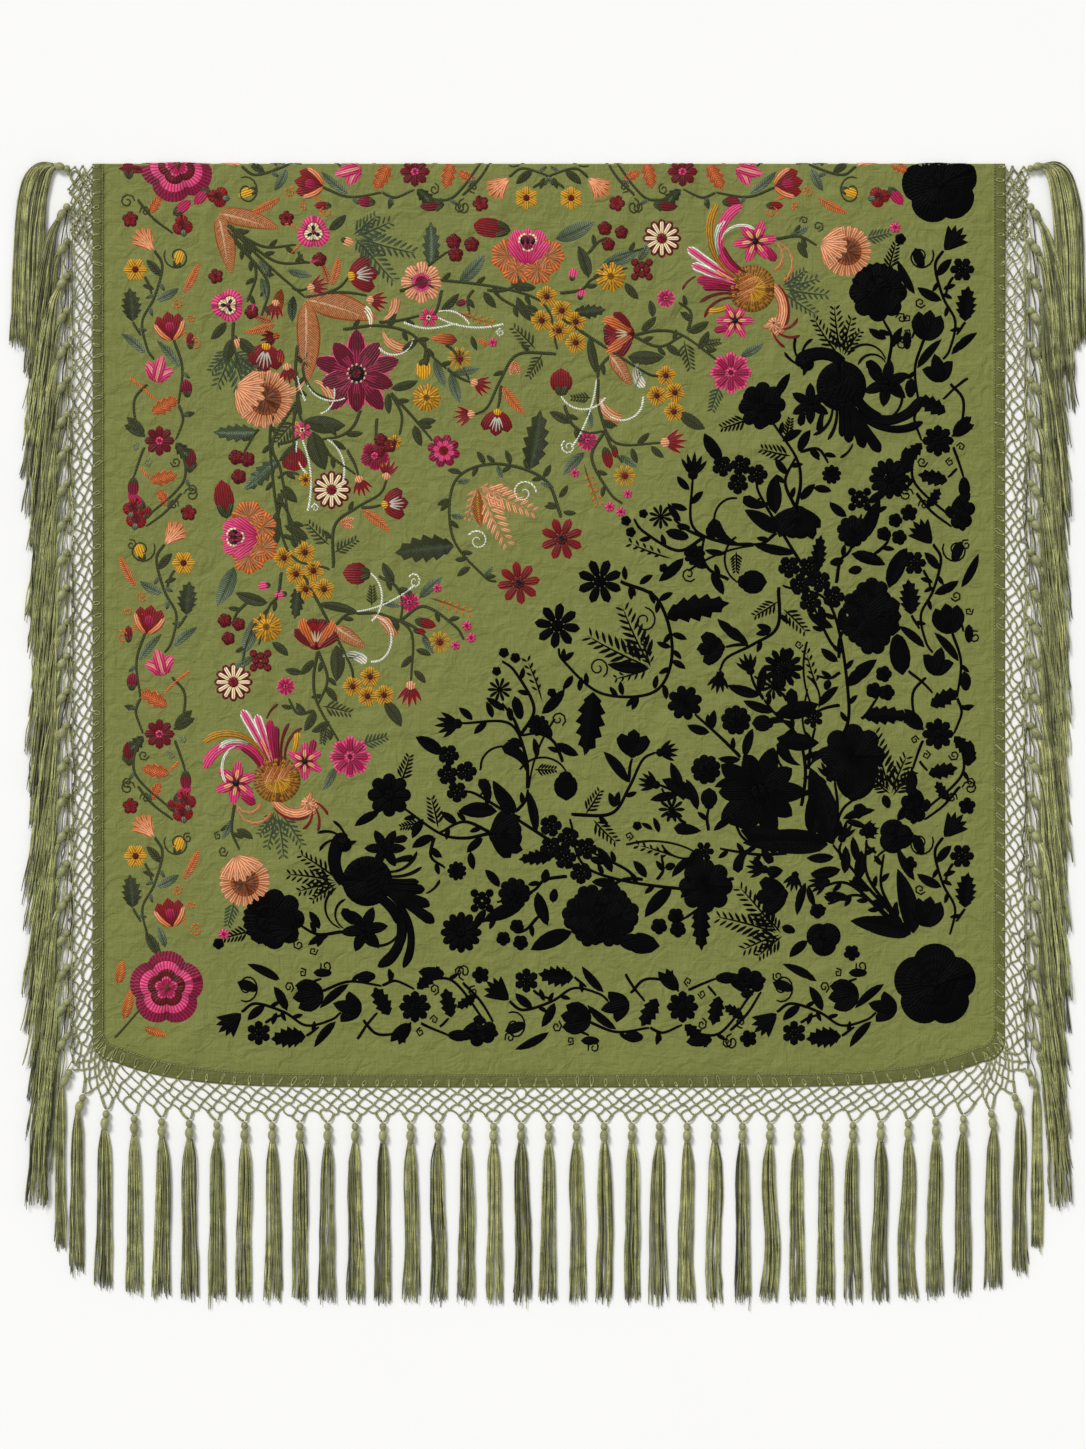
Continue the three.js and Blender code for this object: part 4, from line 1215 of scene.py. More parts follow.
def peony(size):
    """A full peony from the side: scalloped orange petals below and beside, and over them a pink cup with
    a dark seeded heart near its rim."""
    made = []
    rings = rings_of((0.7, "salmon"), (1.0, "orange"))
    for along, aside, share in ((-0.02, 0.56, 0.5), (-0.4, 0.3, 0.44)):
        for way in (1, -1):
            made.append(blossom((along * size, way * aside * size), size * share, 7, rings, depth=0.16,
                                turn=10, lift=1.1))
    for lean, long in ((44, 1.0), (-44, 1.0), (23, 1.14), (-23, 1.14), (0, 1.12)):
        made.append(petal((-0.34 * size, 0), lean * 0.8, size * long, size * 0.5, "magenta", "pink",
                          edge="pink", belly=0.8, tip=0.26, rows=9, lift=1.7))
    rings = rings_of((0.75, "crimson"), (0.8, "cream"), (1.0, "cream"))
    made.append(blossom((0.38 * size, 0), size * 0.3, 3, rings, depth=0.2, lift=2.1, turn=180, steps=8))
    for at, lean in ((0.16, 8), (0.0, 0), (-0.16, -8)):
        made.append(petal((0.24 * size, at * size * 0.7), lean * 2, size * 0.34, size * 0.15, "black",
                          "black", rows=5, lift=2.6, belly=0.6, tip=0.35, fine=False))
    return made


def scalloped(size):
    """A flat peach flower with eight scalloped petals, a ringed middle and knots round it."""
    rings = rings_of((0.3, "crimson"), (0.46, "pink"), (1.0, "peach"))
    return [blossom((0, 0), size, 8, rings, depth=0.16)] + [
        knot(polar(size * 0.62, 45 * (i + 0.5)), 1.1, "rust", lift=1.2) for i in range(8)]


def carnation(size):
    """A frilled salmon flower from the side: a frilled rim round a brown heart, and narrow petals that fan
    over it from the stalk."""
    made = []
    for lean in range(-136, 137, 17):
        x, y = polar(1, lean)
        made.append(petal((size * (0.1 + 0.42 * x), size * 0.44 * y), lean, size * 0.52, size * 0.27,
                          "salmon", "peach", edge="salmon", belly=0.6, tip=0.25, lift=1.0))
    made.append(disc((0.14 * size, 0), size * 0.54, (0.8, "brown"), (1.0, "rust"), lift=1.5, steps=18))
    for lean in range(-100, 96, 15):
        x, y = polar(0.3, lean)
        made.append(petal((size * (0.14 + x), size * y), lean, size * 0.22, 1.8, "dark_red", "salmon",
                          rows=4, lift=2.0, belly=0.3, tip=0.5, fine=False))
    return made + fan((52, -52, 34, -34, 17, -17, 0), (-0.9 * size, 0), size, 1.12, size * 0.3, "peach",
                      "peach", less=0.003, bow=-0.3, edge="salmon", belly=0.9, tip=0.28, rows=8, lift=1.9)


def gold_round(size):
    """A round gold flower of small scallops in two rounds."""
    return [
        blossom((0, 0), size, 9, rings_of((0.5, "dark_gold"), (1.0, "gold")), depth=0.14),
        blossom((0, 0), size * 0.58, 7, rings_of((0.4, "dark_gold"), (1.0, "yellow")), lift=1.4),
    ]


def orchid(size):
    """Three broad pink petals in one, with a cream middle and three long dark spots on it."""
    rings = rings_of((0.62, "magenta"), (0.68, "pink"), (1.0, "pink"))
    middle = rings_of((0.8, "cream"), (1.0, "cream"))
    return [
        blossom((0, 0), size, 3, rings, depth=0.2, turn=92, lift=1.2, steps=10),
        blossom((0, 0), size * 0.6, 3, middle, depth=0.34, lift=1.7, turn=92, steps=8),
        *fan((92, 212, 332), (0, 0), size, 0.53, size * 0.3, "black", "black", belly=0.6, tip=0.35, rows=5,
             lift=2.3, fine=False),
        disc((0, 0), size * 0.14, (1.0, "crimson"), lift=2.7, steps=8),
    ]


def star(size):
    """A six-pointed pink flower with a smaller peach star on it and a dark eye."""
    made = []
    for share, width, inner, outer, edge, lift, turn in (
        (1.0, 0.5, "magenta", "pink", "magenta", 0.9, 0), (0.66, 0.24, "peach", "peach", None, 1.5, 0),
        (0.46, 0.22, "dark_red", "crimson", None, 1.7, 30),
    ):
        made += fan(range(turn, turn + 360, 60), (0, 0), size, share, size * width, inner, outer, edge=edge,
                    belly=0.6, tip=0.75, lift=lift, fine=share == 1.0)
    made.append(disc((0, 0), size * 0.16, (1.0, "black"), lift=2.2))
    return made


def sprig(size):
    """A stalk with small knots on both sides."""
    made = [petal((0, 0), 0, size, 1.8, "olive", "orange", belly=0.1, tip=0.3, bend=14, fine=False, rows=6)]
    for i in range(5):
        made += fan((-42, 42), (size * (0.3 + 0.17 * i), 0), size, 0.17, 2.6, "orange", "gold", rows=4,
                    fine=False, lift=1.1)
    return made


def lobed(size):
    """A three-lobed flower with a grey cup."""
    return [
        blossom((0, 0), size, 3, rings_of((0.45, "dark_red"), (1.0, "red")), depth=0.34, lift=1.0, steps=8),
        petal((-size * 1.1, 0), 0, size * 0.8, size * 0.7, "grey_green", "teal", belly=0.6, tip=0.5, rows=5,
              lift=1.2, fine=False),
    ]


def berry(size, dye_and_painted_light="dark_red"):
    """A round berry or tiny flower in two rings."""
    inner = {"dark_red": "red", "pink": "magenta"}[dye_and_painted_light]
    return [blossom((0, 0), size, 5, rings_of((0.4, inner), (1.0, dye_and_painted_light)), depth=0.16, lift=1.1, turn=18)]


def berry_bunch(size):
    """A bunch of eight berries."""
    made = []
    for i in range(8):
        far, a = size * (0.72 if i % 2 else 0.34), 0.785 * i
        made.append(disc((far * math.cos(a), far * math.sin(a)), size * 0.28, (0.5, "red"),
                         (1.0, "dark_red"), lift=1.2))
    return made


def bell(size):
    """A bell flower: a dark red cup, two orange petals that fold back over it, and cream stamens."""
    rings = rings_of((0.7, "red"), (1.0, "dark_red"))
    return [
        blossom((size * 0.52, 0), size * 0.46, 5, rings, depth=0.12, lift=1.0),
        *fan((128, -128), (size * 0.92, 0), size, 0.8, size * 0.36, "dark_red", "dark_red", edge="red",
             belly=0.7, lift=1.3),
        *fan((153, -153), (size * 0.96, 0), size, 0.98, size * 0.36, "rust", "orange", edge="peach",
             bow=0.16, belly=0.7, tip=0.45, rows=8, lift=1.5),
        *fan((160, 172, -172, -160), (size * 0.86, 0), size, 0.52, 1.9, "cream", "cream", rows=4, lift=2.1,
             belly=0.2, tip=0.5, fine=False),
    ]


def petal_of(size, width, inner, outer):
    """One loose petal."""
    return [petal((0, 0), 0, size, width, inner, outer)]


def feather(points, wide, tip_dye, quill_dye, edge):
    """A long feather or neck along a curve from its tip to its quill: half its width is wide / 2 *
    min(1, t / 0.12)^0.5 * (1 - 0.55 t), and its threads run along it."""
    line, normal, run = curve_frame(points, 3, 8)
    t = np.linspace(0, 1, len(line))
    half = wide / 2 * np.clip(t / 0.12, 0.04, 1) ** 0.5 * (1 - 0.55 * t)
    s = np.array([-1, -0.78, -0.3, 0.3, 0.78, 1.0])
    across = half[:, None] * s[None]
    offsets = normal[:, None] * across[..., None]
    ridge = 1.3 * np.sqrt(1 - np.abs(s) ** 2 * 0.98) - 0.25 * (np.abs(s) > 0.99)
    high = np.broadcast_to(ridge, across.shape).copy()
    high[0] = high[-1] = -0.1
    dye_and_painted_light = blend(DYE[tip_dye], DYE[quill_dye], np.broadcast_to(t[:, None], high.shape))
    if edge:
        dye_and_painted_light = blend(dye_and_painted_light, DYE[edge], np.broadcast_to((np.abs(s) > 0.7)[None] * 1.0, high.shape))
    uv = np.stack([across, run + 0 * across], -1)
    return (np.repeat(line, 6, axis=0), offsets.reshape(-1, 2), high.ravel(), uv.reshape(-1, 2),
            dye_and_painted_light.reshape(-1, 3), grid_faces(*high.shape))


def bird_body(size):
    """The bird's body: a round gold breast in rows of small feathers, with rosy wing feathers over it."""
    made = [disc((0, 0), size, (0.55, "gold"), (1.0, "dark_gold"), lift=1.5, steps=28)]
    for ring, count in ((0.78, 15), (0.56, 11)):
        for i in range(count):
            lean = 360 * i / count + 9
            made.append(petal(polar(size * ring * 0.86, lean), lean, size * 0.26, size * 0.24, "rust",
                              "gold", belly=0.6, rows=4, lift=1.9, fine=False))
    for i, (y, long) in enumerate(((0.34, 0.9), (0.12, 1.1), (-0.1, 1.15), (-0.32, 1.0), (-0.52, 0.75))):
        made.append(petal((-size * 0.62, size * (y - 0.1)), 26, size * long, size * 0.19, "rust",
                          ("salmon", "peach")[i % 2], edge="gold", belly=0.5, tip=0.5, rows=6, lift=2.3,
                          fine=False, bend=-20))
    return made


def bird_head(size):
    """The head and beak, seen from the side."""
    return [
        disc((0, 0), size * 0.52, (1.0, "peach"), lift=2.0, steps=14),
        petal((-size * 0.2, 0), 200, size * 0.7, size * 0.32, "peach", "orange", belly=0.3, tip=0.8, rows=5,
              lift=1.8),
        knot((-size * 0.02, size * 0.12), 1.3, "black", lift=2.7),
    ]


# The picture's scale and middle. Every place and size in the tables below is in its pixels,
# estimated.
MM_PER_PIXEL = 1.535
MIDDLE_X = 551
MIDDLE_Y = 730.3
# the black motifs are a little fuller
BLACK_GROWTH = 0.06
sewn = []


def keep(anchors, offsets, high, uv, dye_and_painted_light, faces, quarter, black=None):
    """Moves one patch to its quarter and keeps it with the others of the same dye."""
    matrix, shift, turning, dark = quarter
    moved = anchors @ np.array(matrix, float).T + shift
    offset = offsets @ np.array(turning, float).T
    x = (moved[:, 0] - MIDDLE_X) * MM_PER_PIXEL + offset[:, 0] * MM_PER_PIXEL
    y = (MIDDLE_Y - moved[:, 1]) * MM_PER_PIXEL + offset[:, 1] * MM_PER_PIXEL
    if np.linalg.det(turning) > 0:
        faces = faces[:, ::-1]
    group = "colour"
    if dark if black is None else black:
        x = x + offset[:, 0] * MM_PER_PIXEL * BLACK_GROWTH
        y = y + offset[:, 1] * MM_PER_PIXEL * BLACK_GROWTH
        shade = 0.6 + 1.4 * (dye_and_painted_light @ np.array([0.3, 0.5, 0.2])) ** 0.5
        dye_and_painted_light = np.clip(shade[:, None] * np.array([0.0008, 0.0008, 0.0009]), 0.0004, 0.002)
        group = "black"
    sewn.append((x, y, high, uv * MM_PER_PIXEL, dye_and_painted_light, faces, group))


def sew(x, y, turn, patches, quarter, black=None):
    """Sews patches, made round (0, 0) and pointing along +X, at a place of the picture in one quarter. The
    quarter's matrix moves the place, and its turning matrix, which may mirror, turns the patch there."""
    c, s = math.cos(math.radians(turn)), math.sin(math.radians(turn))
    for points, high, uv, dye_and_painted_light, faces in patches:
        turned = points @ np.array([[c, s], [-s, c]])
        keep(np.broadcast_to((x, y), turned.shape), turned, high, uv, dye_and_painted_light, faces, quarter, black)


def sew_table(table, *quarters, black=None):
    """Sews each motif of a table in some quarters."""
    for kind, x, y, size, turn, *more in table:
        for quarter in quarters:
            sew(x, y, turn, kind(size, *more), quarter, black)


def sew_stem(points, quarter, dye_and_painted_light="olive", wide=2.6, thin=1.7):
    """A stem through places of the picture, each moved by the quarter's matrix."""
    keep(*stem(points, dye_and_painted_light, wide, thin), quarter)


def sew_stalk(places, quarter, dye_and_painted_light):
    """A stem of a spray: thick in olive, thin in the other dyes."""
    sew_stem(places, quarter, dye_and_painted_light, *((4.0, 2.6) if dye_and_painted_light == "olive" else (2.6, 2.0)))


def sew_scrolls(table, quarter):
    """White scrolls in one quarter."""
    for scroll in table:
        sew_stem(bent_line(*scroll), quarter, "white", 2.6, 2.0)


LONG_KINDS = (leaf, grey_leaf, toothed_leaf, fern, plume_leaf, paisley, sprig, petal_of, bell)


def clearance(row):
    """How far a small leaf's tip has to stay from a motif's place, which is the foot of a long motif and
    the middle of a round one."""
    return 8 if row[0] in LONG_KINDS else max(9, row[3] * 0.95)


def sprouts(places, table, gap=17.0):
    """Where small leaves sit along a stem, to its left and right in turn: x, y and turn of each that stays
    clear of a table's motifs."""
    line = along_curve(places, 80)
    run = np.concatenate([[0], np.cumsum(np.linalg.norm(np.diff(line, axis=0), axis=1))])
    found = []
    for number, at in enumerate(np.arange(gap * 0.6, run[-1] - gap * 0.35, gap)):
        x, y = (np.interp(at, run, line[:, axis]) for axis in (0, 1))
        later_x, later_y = (np.interp(at + 2, run, line[:, axis]) for axis in (0, 1))
        turn = math.degrees(math.atan2(y - later_y, later_x - x)) + (46 if number % 2 == 0 else -46)
        ahead, up = polar(9, turn)
        if all(math.hypot(x + ahead - row[1], y - up - row[2]) > clearance(row) for row in table):
            found.append((x, y, turn))
    return found


def bent_line(x, y, heading, length, bend):
    """The places of an evenly bent line, its far end first: from a place it goes off with a heading and
    turns by the bend, both in degrees."""
    turned = np.radians(heading + bend * (np.arange(6) + 0.5) / 6)
    along_x = x + np.append(0, np.cumsum(np.cos(turned))) * length / 6
    along_y = y - np.append(0, np.cumsum(np.sin(turned))) * length / 6
    return list(zip(along_x, along_y))[::-1]


# the quarters: a matrix and a shift for places, a turning matrix for motifs, and whether it is black
TOP = ([[1, 0], [0, 1]], (0, 0), [[1, 0], [0, 1]], False)
LEFT = ([[0, 0.87], [1.081, 0]], (28, -35.6), [[0, -1], [-1, 0]], False)
RIGHT = ([[0, -0.965], [-1.027, 0]], (1122.2, 1160.8), [[0, 1], [1, 0]], True)
BOTTOM = ([[-1.041, 0], [0, -1.024]], (1154.7, 1177), [[-1, 0], [0, -1]], True)

# the sprays of one quarter: kind, x, y, size, turn, and what else the kind takes
SPRAY = [
    (round_flower, 289, 219, 8, 0), (orchid, 316, 233, 17, 0), (leaf, 331, 231, 24, 42),
    (bud, 344, 240, 13, -20, 9, "peach"), (fern, 355, 236, 32, 40), (fern, 357, 237, 40, 22),
    (fern, 360, 238, 62, -15, "grey_green", 8, 0.3), (fern, 360, 238, 60, -50, "grey_green", 8, 0.3),
    (fern, 357, 238, 28, -48), (crown, 311, 289, 20, 15),
    (leaf, 333, 288, 33, 75, 9, "salmon", "orange", "rust"), (tulip, 352, 277, 30, 8),
    (crown, 370, 300, 20, -10), (grey_leaf, 290, 271, 26, -12), (paisley, 384, 321, 30, 60),
    (toothed_leaf, 433, 267, 44, 90, 18, "grey_green", "grey_green", "teal"), (berry, 456, 242, 8, 0),
    (berry, 474, 245, 8, 0), (berry, 458, 255, 8, 0), (peony, 530, 256, 35, 90),
    (yellow_flower, 549, 297, 9, 0), (yellow_flower, 564, 311, 9, 30), (yellow_flower, 544, 321, 9, 10),
    (yellow_flower, 561, 331, 9, 50), (yellow_flower, 578, 322, 9, 0), (yellow_flower, 578, 343, 9, 20),
    (daisy, 431, 318, 10, 0, 6, "magenta", "pink", "cream", "black", 0.95), (crown, 474, 382, 20, -20),
    (crown, 476, 414, 20, 190), (paisley, 385, 330, 34, -38),
    (leaf, 504, 385, 38, -52, 11, "salmon", "orange", "rust"), (tulip, 500, 411, 26, -95),
    (berry, 607, 229, 7.5, 0), (berry, 623.5, 233, 7, 0), (berry, 610.5, 245, 7, 0),
    (daisy, 664, 239, 20, 0, 12, "cream", "cream", "red", "dark_red", 0.74, 0, "dark_red"),
    (grey_leaf, 603, 266, 43, 22), (gold_round, 613, 277, 15.5, 0), (berry_bunch, 644, 270, 14, 0),
    (leaf, 627, 283, 22, -50), (bud, 574, 281, 13, 80, 9, "pink"), (bud, 582, 300, 13, 80, 9, "pink"),
    (toothed_leaf, 575, 313, 33, 5), (bell, 602, 336, 36, 4), (leaf, 643, 331, 21, 42),
    (leaf, 690, 333, 24, 28), (leaf, 692, 322, 14, 135), (fluffy, 668, 299, 9, 0),
    (fern, 686, 340, 31, -77, "olive"), (fern, 703, 346, 20, 12, "olive"),
    (fluffy, 733, 373, 20, 0, "pink", 8), (grey_leaf, 742, 357, 28, 30), (fern, 722, 385, 28, -108),
    (paisley, 642, 359, 32, -80, "grey_green", "white"), (plume_leaf, 612, 355, 38, -56, 15),
    (yellow_flower, 668, 376, 8.5, 0), (yellow_flower, 659, 396, 8.5, 20),
    (yellow_flower, 677, 393, 8.5, 40), (yellow_flower, 676, 412, 8.5, 10), (leaf, 681, 412, 32, -33),
    (leaf, 592, 335, 44, -78, 10), (bud, 564, 395, 27, 92, 24, "red"), (fern, 594, 398, 21, 180, "olive"),
    (leaf, 572, 424, 24, 150), (grey_leaf, 591, 409, 20, -80), (paisley, 602, 396, 36, -45),
    (crown, 664, 443, 24, 5), (leaf, 639, 444, 17, 42), (leaf, 653, 446, 18, -42),
    (fluffy, 590, 441, 10, 0), (grey_leaf, 587, 452, 33, -133), (bud, 607, 448, 22, -75, 11, "red"),
    (bud, 616, 446, 13, -80, 7, "red"), (sunburst, 627, 476, 12, 0), (sprig, 586, 463, 42, -70),
    (berry, 577, 473, 4.5, 0, "pink"), (berry, 630, 494, 4.5, 0, "pink"), (berry, 612, 507, 5, 0, "pink"),
    (berry, 623, 512, 5, 0, "pink"), (grey_leaf, 622, 455, 22, -35), (bud, 511, 231, 38, 172, 21, "red"),
    (leaf, 442, 313, 28, 45, 9), (bud, 459, 305, 10, 20, 8, "crimson"), (grey_leaf, 461, 284, 40, 48, 14),
    (grey_leaf, 557, 240, 44, 24, 17), (leaf, 591, 279, 35, 108, 13), (leaf, 486, 292, 21, -52, 9),
    (leaf, 516, 285, 23, -8, 10), (leaf, 513, 286, 20, 42, 8), (leaf, 519, 297, 29, -60, 10),
    (berry, 322, 260, 7.5, 0), (petal_of, 313, 263, 12, 20, 9, "magenta", "pink"),
    (leaf, 629, 357, 38, 0, 16), (leaf, 331, 285, 22, 108, 7, "salmon", "rust", "dark_red"),
    (fern, 538, 350, 33, 135, "olive", 6, 0.4), (fern, 545, 354, 28, -122, "olive", 6, 0.4),
    (leaf, 517, 361, 16, -105, 7, "salmon", "peach", "rust"),
    (leaf, 518, 361, 15, -75, 7, "salmon", "peach", "rust"), (leaf, 668, 344, 20, -38, 8),
    (leaf, 700, 350, 22, 60, 9), (leaf, 541, 312, 18, 165, 8), (leaf, 655, 318, 18, 100, 8),
    (grey_leaf, 640, 262, 24, 60, 9), (leaf, 603, 420, 18, -20, 7), (leaf, 634, 448, 17, -70, 7),
    (leaf, 577, 428, 20, -60, 8),
    # the bird's round body and head, and the flowers and leaves round it
    (bird_body, 754, 289, 24, 0), (bird_head, 776, 325, 14, 0), (star, 757, 242, 23, 8),
    (star, 737, 321, 20, 0), (petal_of, 768, 246, 19, -60, 10, "magenta", "crimson"),
    (petal_of, 733, 328, 18, 190, 8, "magenta", "crimson"), (fern, 783, 287, 30, 34, "grey_green", 6, 0.34),
    (fern, 784, 288, 38, 14, "grey_green", 6, 0.34), (fern, 784, 289, 48, -8, "grey_green", 7, 0.3),
    (fern, 783, 291, 44, -34, "grey_green", 7, 0.3), (leaf, 795, 238, 15, 62), (leaf, 800, 242, 20, -60),
    (grey_leaf, 790, 238, 24, 28), (carnation, 846, 251, 27, -18), (fern, 866, 240, 27, 15),
    (berry, 897, 228, 5.5, 0, "pink"),
]
# the stems of one quarter, each with its dye and the places it goes through
SPRAY_STEMS = [
    ("olive", [(402, 292), (444, 281), (540, 300), (560, 350)]),
    ("olive", [(560, 316), (599, 342), (646, 372), (661, 377)]),
    ("olive", [(590, 255), (600, 243), (610, 238)]),
    ("olive", [(562, 294), (584, 290), (596, 279), (630, 268)]),
    ("olive", [(596, 279), (618, 258), (650, 248)]),
    ("olive", [(635, 336), (661, 331), (685, 336), (720, 361)]),
    ("olive", [(635, 336), (661, 347), (685, 336)]), ("olive", [(690, 332), (693, 313), (679, 302)]),
    ("olive", [(600, 379), (602, 411), (618, 443), (664, 443)]),
    ("olive", [(612, 356), (602, 368), (600, 379)]),
    ("olive", [(607, 431), (594, 458), (612, 493), (625, 504)]),
    ("olive", [(607, 431), (614, 448), (625, 463)]),
    ("olive", [(566, 405), (575, 425), (590, 433), (607, 431)]),
    ("olive", [(777, 240), (801, 237), (819, 246)]), ("olive", [(426, 338), (428, 350), (426, 362)]),
    ("olive", [(444, 290), (441, 305), (436, 318)]), ("olive", [(448, 345), (456, 352), (472, 380)]),
    ("olive", [(559, 354), (520, 355), (503, 380), (490, 407), (477, 415)]),
    ("olive", [(503, 385), (502, 400), (500, 409)]), ("olive", [(430, 268), (436, 262), (452, 251)]),
    ("olive", [(489, 291), (507, 291), (520, 284), (527, 277)]),
    ("olive", [(449, 369), (462, 378), (474, 383)]), ("olive", [(497, 289), (505, 300), (540, 318)]),
    ("olive", [(476, 290), (470, 300), (472, 315)]), ("teal", [(646, 372), (640, 380), (638, 388)]),
]
# the bird's plumes and neck, drawn as bent bands: width, dye of the tip, of the quill and of
# the edge, where the quill starts, its heading in degrees, its length and how far it turns
PLUMES = [
    (9, "gold", "dark_gold", None, 740, 281, 150, 88, -90),
    (12, "pink", "magenta", None, 744, 276, 155, 88, -130),
    (9, "white", "teal", None, 722, 258, 115, 42, -70),
    (3.4, "white", "white", None, 722, 252, 100, 54, -140),
    (8, "crimson", "dark_red", None, 752, 275, 160, 42, -50),
    (12, "pink", "magenta", "white", 740, 281, 152, 60, -10),
    (11, "pink", "magenta", "white", 740, 284, 160, 50, -5),
    (11, "magenta", "crimson", None, 740, 287, 162, 42, 20),
    (9, "peach", "gold", None, 737, 284, 148, 26, -5),
    (8, "crimson", "dark_red", None, 744, 292, 165, 40, 20),
    (3.2, "dark_red", "dark_red", None, 698, 277, 200, 20, 50),
    (4, "dark_red", "dark_red", None, 742, 296, 160, 43, 60),
    (4, "dark_red", "dark_red", None, 740, 299, 165, 43, 90),
    (8, "yellow", "gold", None, 730, 307, 210, 22, -40),
    (3, "orange", "peach", None, 777, 243, -30, 36, -130),
    (3, "orange", "peach", None, 780, 243, -20, 50, -130),
    (16, "peach", "peach", "salmon", 767, 282, -25, 64, -115),
    (4, "dark_red", "red", None, 780, 285, -45, 47, -75),
    (3.4, "dark_red", "red", None, 774, 329, -80, 24, 50),
    (3.4, "dark_red", "red", None, 777, 330, -50, 28, 75),
    (3.4, "dark_red", "red", None, 779, 329, -15, 26, 85),
]
# white scrolls, drawn as bent lines: where each starts, its heading in degrees, its length and how far it
# turns
SCROLLS = [
    (416, 339, -100, 48, -140), (563, 396, -62, 54, 120), (599, 379, -95, 74, -30),
    (603, 400, -88, 68, 185), (440, 318, -28, 68, 45), (441, 312, 15, 36, -75),
]
LEFT_SCROLLS = [
    (328, 438, -30, 72, -110), (308, 380, -75, 52, 105), (299, 373, -80, 30, 15),
]
SPRAY_CURLS = [
    (820, 227, 6, 270, "olive", 1), (806, 221, 5, 200, "olive", -1), (503, 333, 5, 90, "white", 1),
    (571, 447, 8, 120, "white", 1),
]

# what grows along the diagonal, in the coloured corner and again in the black one
DIAGONAL = [
    (plume_leaf, 221, 214, 64, -14, 19), (plume_leaf, 221, 216, 60, -78, 20),
    (plume_leaf, 308, 300, 76, -15, 28), (plume_leaf, 308, 302, 82, -89, 25), (poinsettia, 359, 374, 45, 0),
    (leaf, 420, 422, 19, 5), (leaf, 417, 425, 23, -72), (grey_leaf, 263, 258, 24, -65),
    (round_flower, 446, 451, 17, 10, 8, "crimson", "pink", "red"),
    (daisy, 564, 539, 22, 0, 8, "dark_red", "red", "dark_red", "black", 0.86, 22),
    (daisy, 521, 583, 22, 0, 8, "dark_red", "red", "dark_red", "black", 0.86, 8),
    (toothed_leaf, 532, 470, 60, 80, 25), (toothed_leaf, 457, 546, 60, 187, 27),
    (fern, 480, 486, 30, -15, "peach", 5, 0.3), (fern, 480, 486, 66, -25, "peach", 8, 0.32),
    (fern, 480, 486, 70, -63, "peach", 8, 0.32), (fern, 480, 486, 37, -107, "peach", 5, 0.3),
    (leaf, 480, 488, 40, -85, 12, "dark_gold", "rust", "gold"), (leaf, 561, 498, 16, 55),
    (leaf, 556, 488, 15, 160, 6, "grey_green", "teal"), (leaf, 545, 478, 16, 60), (leaf, 513, 465, 16, 110),
    (leaf, 500, 465, 15, -70, 6, "grey_green", "teal"), (leaf, 487, 465, 16, 120),
    (leaf, 464, 473, 15, 170), (leaf, 459, 482, 14, 10, 6, "grey_green", "teal"), (leaf, 454, 500, 16, 200),
    (leaf, 453, 515, 14, -10, 6, "grey_green", "teal"), (leaf, 457, 560, 14, 10), (leaf, 473, 567, 17, 215),
    (leaf, 486, 577, 14, 50, 6, "grey_green", "teal"), (leaf, 560, 508, 14, 175), (leaf, 565, 512, 14, -5),
]
DIAGONAL_STEMS = [
    ("olive", [(232, 228), (252, 241), (271, 248), (299, 245)]),
    ("olive", [(232, 226), (276, 261), (313, 263)]), ("olive", [(228, 228), (258, 268), (250, 303)]),
    ("olive", [(236, 240), (270, 282), (264, 318)]),
    ("olive", [(300, 345), (298, 370), (300, 390), (304, 415)]),
    ("olive", [(310, 350), (306, 372), (316, 392), (340, 402)]),
    ("orange", [(300, 229), (292, 224), (284, 226)]), ("orange", [(303, 243), (298, 250), (291, 255)]),
    ("olive", [(228, 224), (270, 265), (308, 298)]), ("olive", [(300, 252), (306, 262), (313, 263)]),
    ("olive", [(293, 288), (302, 291), (310, 289)]),
    ("olive", [(308, 298), (328, 294), (343, 287), (352, 276)]),
    ("olive", [(328, 294), (349, 293), (370, 296)]),
    ("olive", [(345, 330), (380, 326), (413, 334), (436, 358), (449, 369)]),
    ("olive", [(381, 323), (401, 321), (422, 316)]), ("white", [(406, 323), (430, 329), (460, 324)]),
    ("olive", [(393, 393), (415, 417), (435, 441)]),
    ("olive", [(564, 518), (546, 479), (496, 464), (457, 482), (455, 537), (486, 576), (499, 582)]),
]
DIAGONAL_CURLS = [
    (526, 493, 13, 0, "white", 1), (480, 541, 11, 150, "white", -1),
]
NOT_LEFT = [
    # beside the large crimson flower, where the lower coloured quarter differs
    (sprig, 455, 311, 40, -18), (petal_of, 433, 338, 27, -6, 12, "orange", "dark_red"),
    (sunburst, 462, 359, 13, 0), (bud, 426, 360, 20, -90, 17, "yellow"), (gold_round, 429, 398, 14.5, 0),
    (grey_leaf, 437, 358, 32, -70, 10), (grey_leaf, 453, 372, 34, -73, 11), (grey_leaf, 455, 373, 28, 10),
    (berry, 495, 343, 4.5, 0, "pink"), (leaf, 480, 339, 13, -30, 5, "orange", "orange", "rust"),
    (leaf, 393, 389, 29, 16, 10), (leaf, 391, 393, 22, -88, 8),
    (leaf, 284, 289, 30, -98, 12, "rust", "orange", "dark_gold"), (grey_leaf, 296, 296, 27, -92, 10),
    (petal_of, 283, 349, 16, -100, 13, "magenta", "orange"),
    (crown, 281, 336, 18, 195, "red", "dark_red", "orange"), (paisley, 372, 330, 26, 110, "cream", "white"),
    (leaf, 402, 352, 24, 35, 8), (leaf, 474, 336, 16, -70, 6),
]
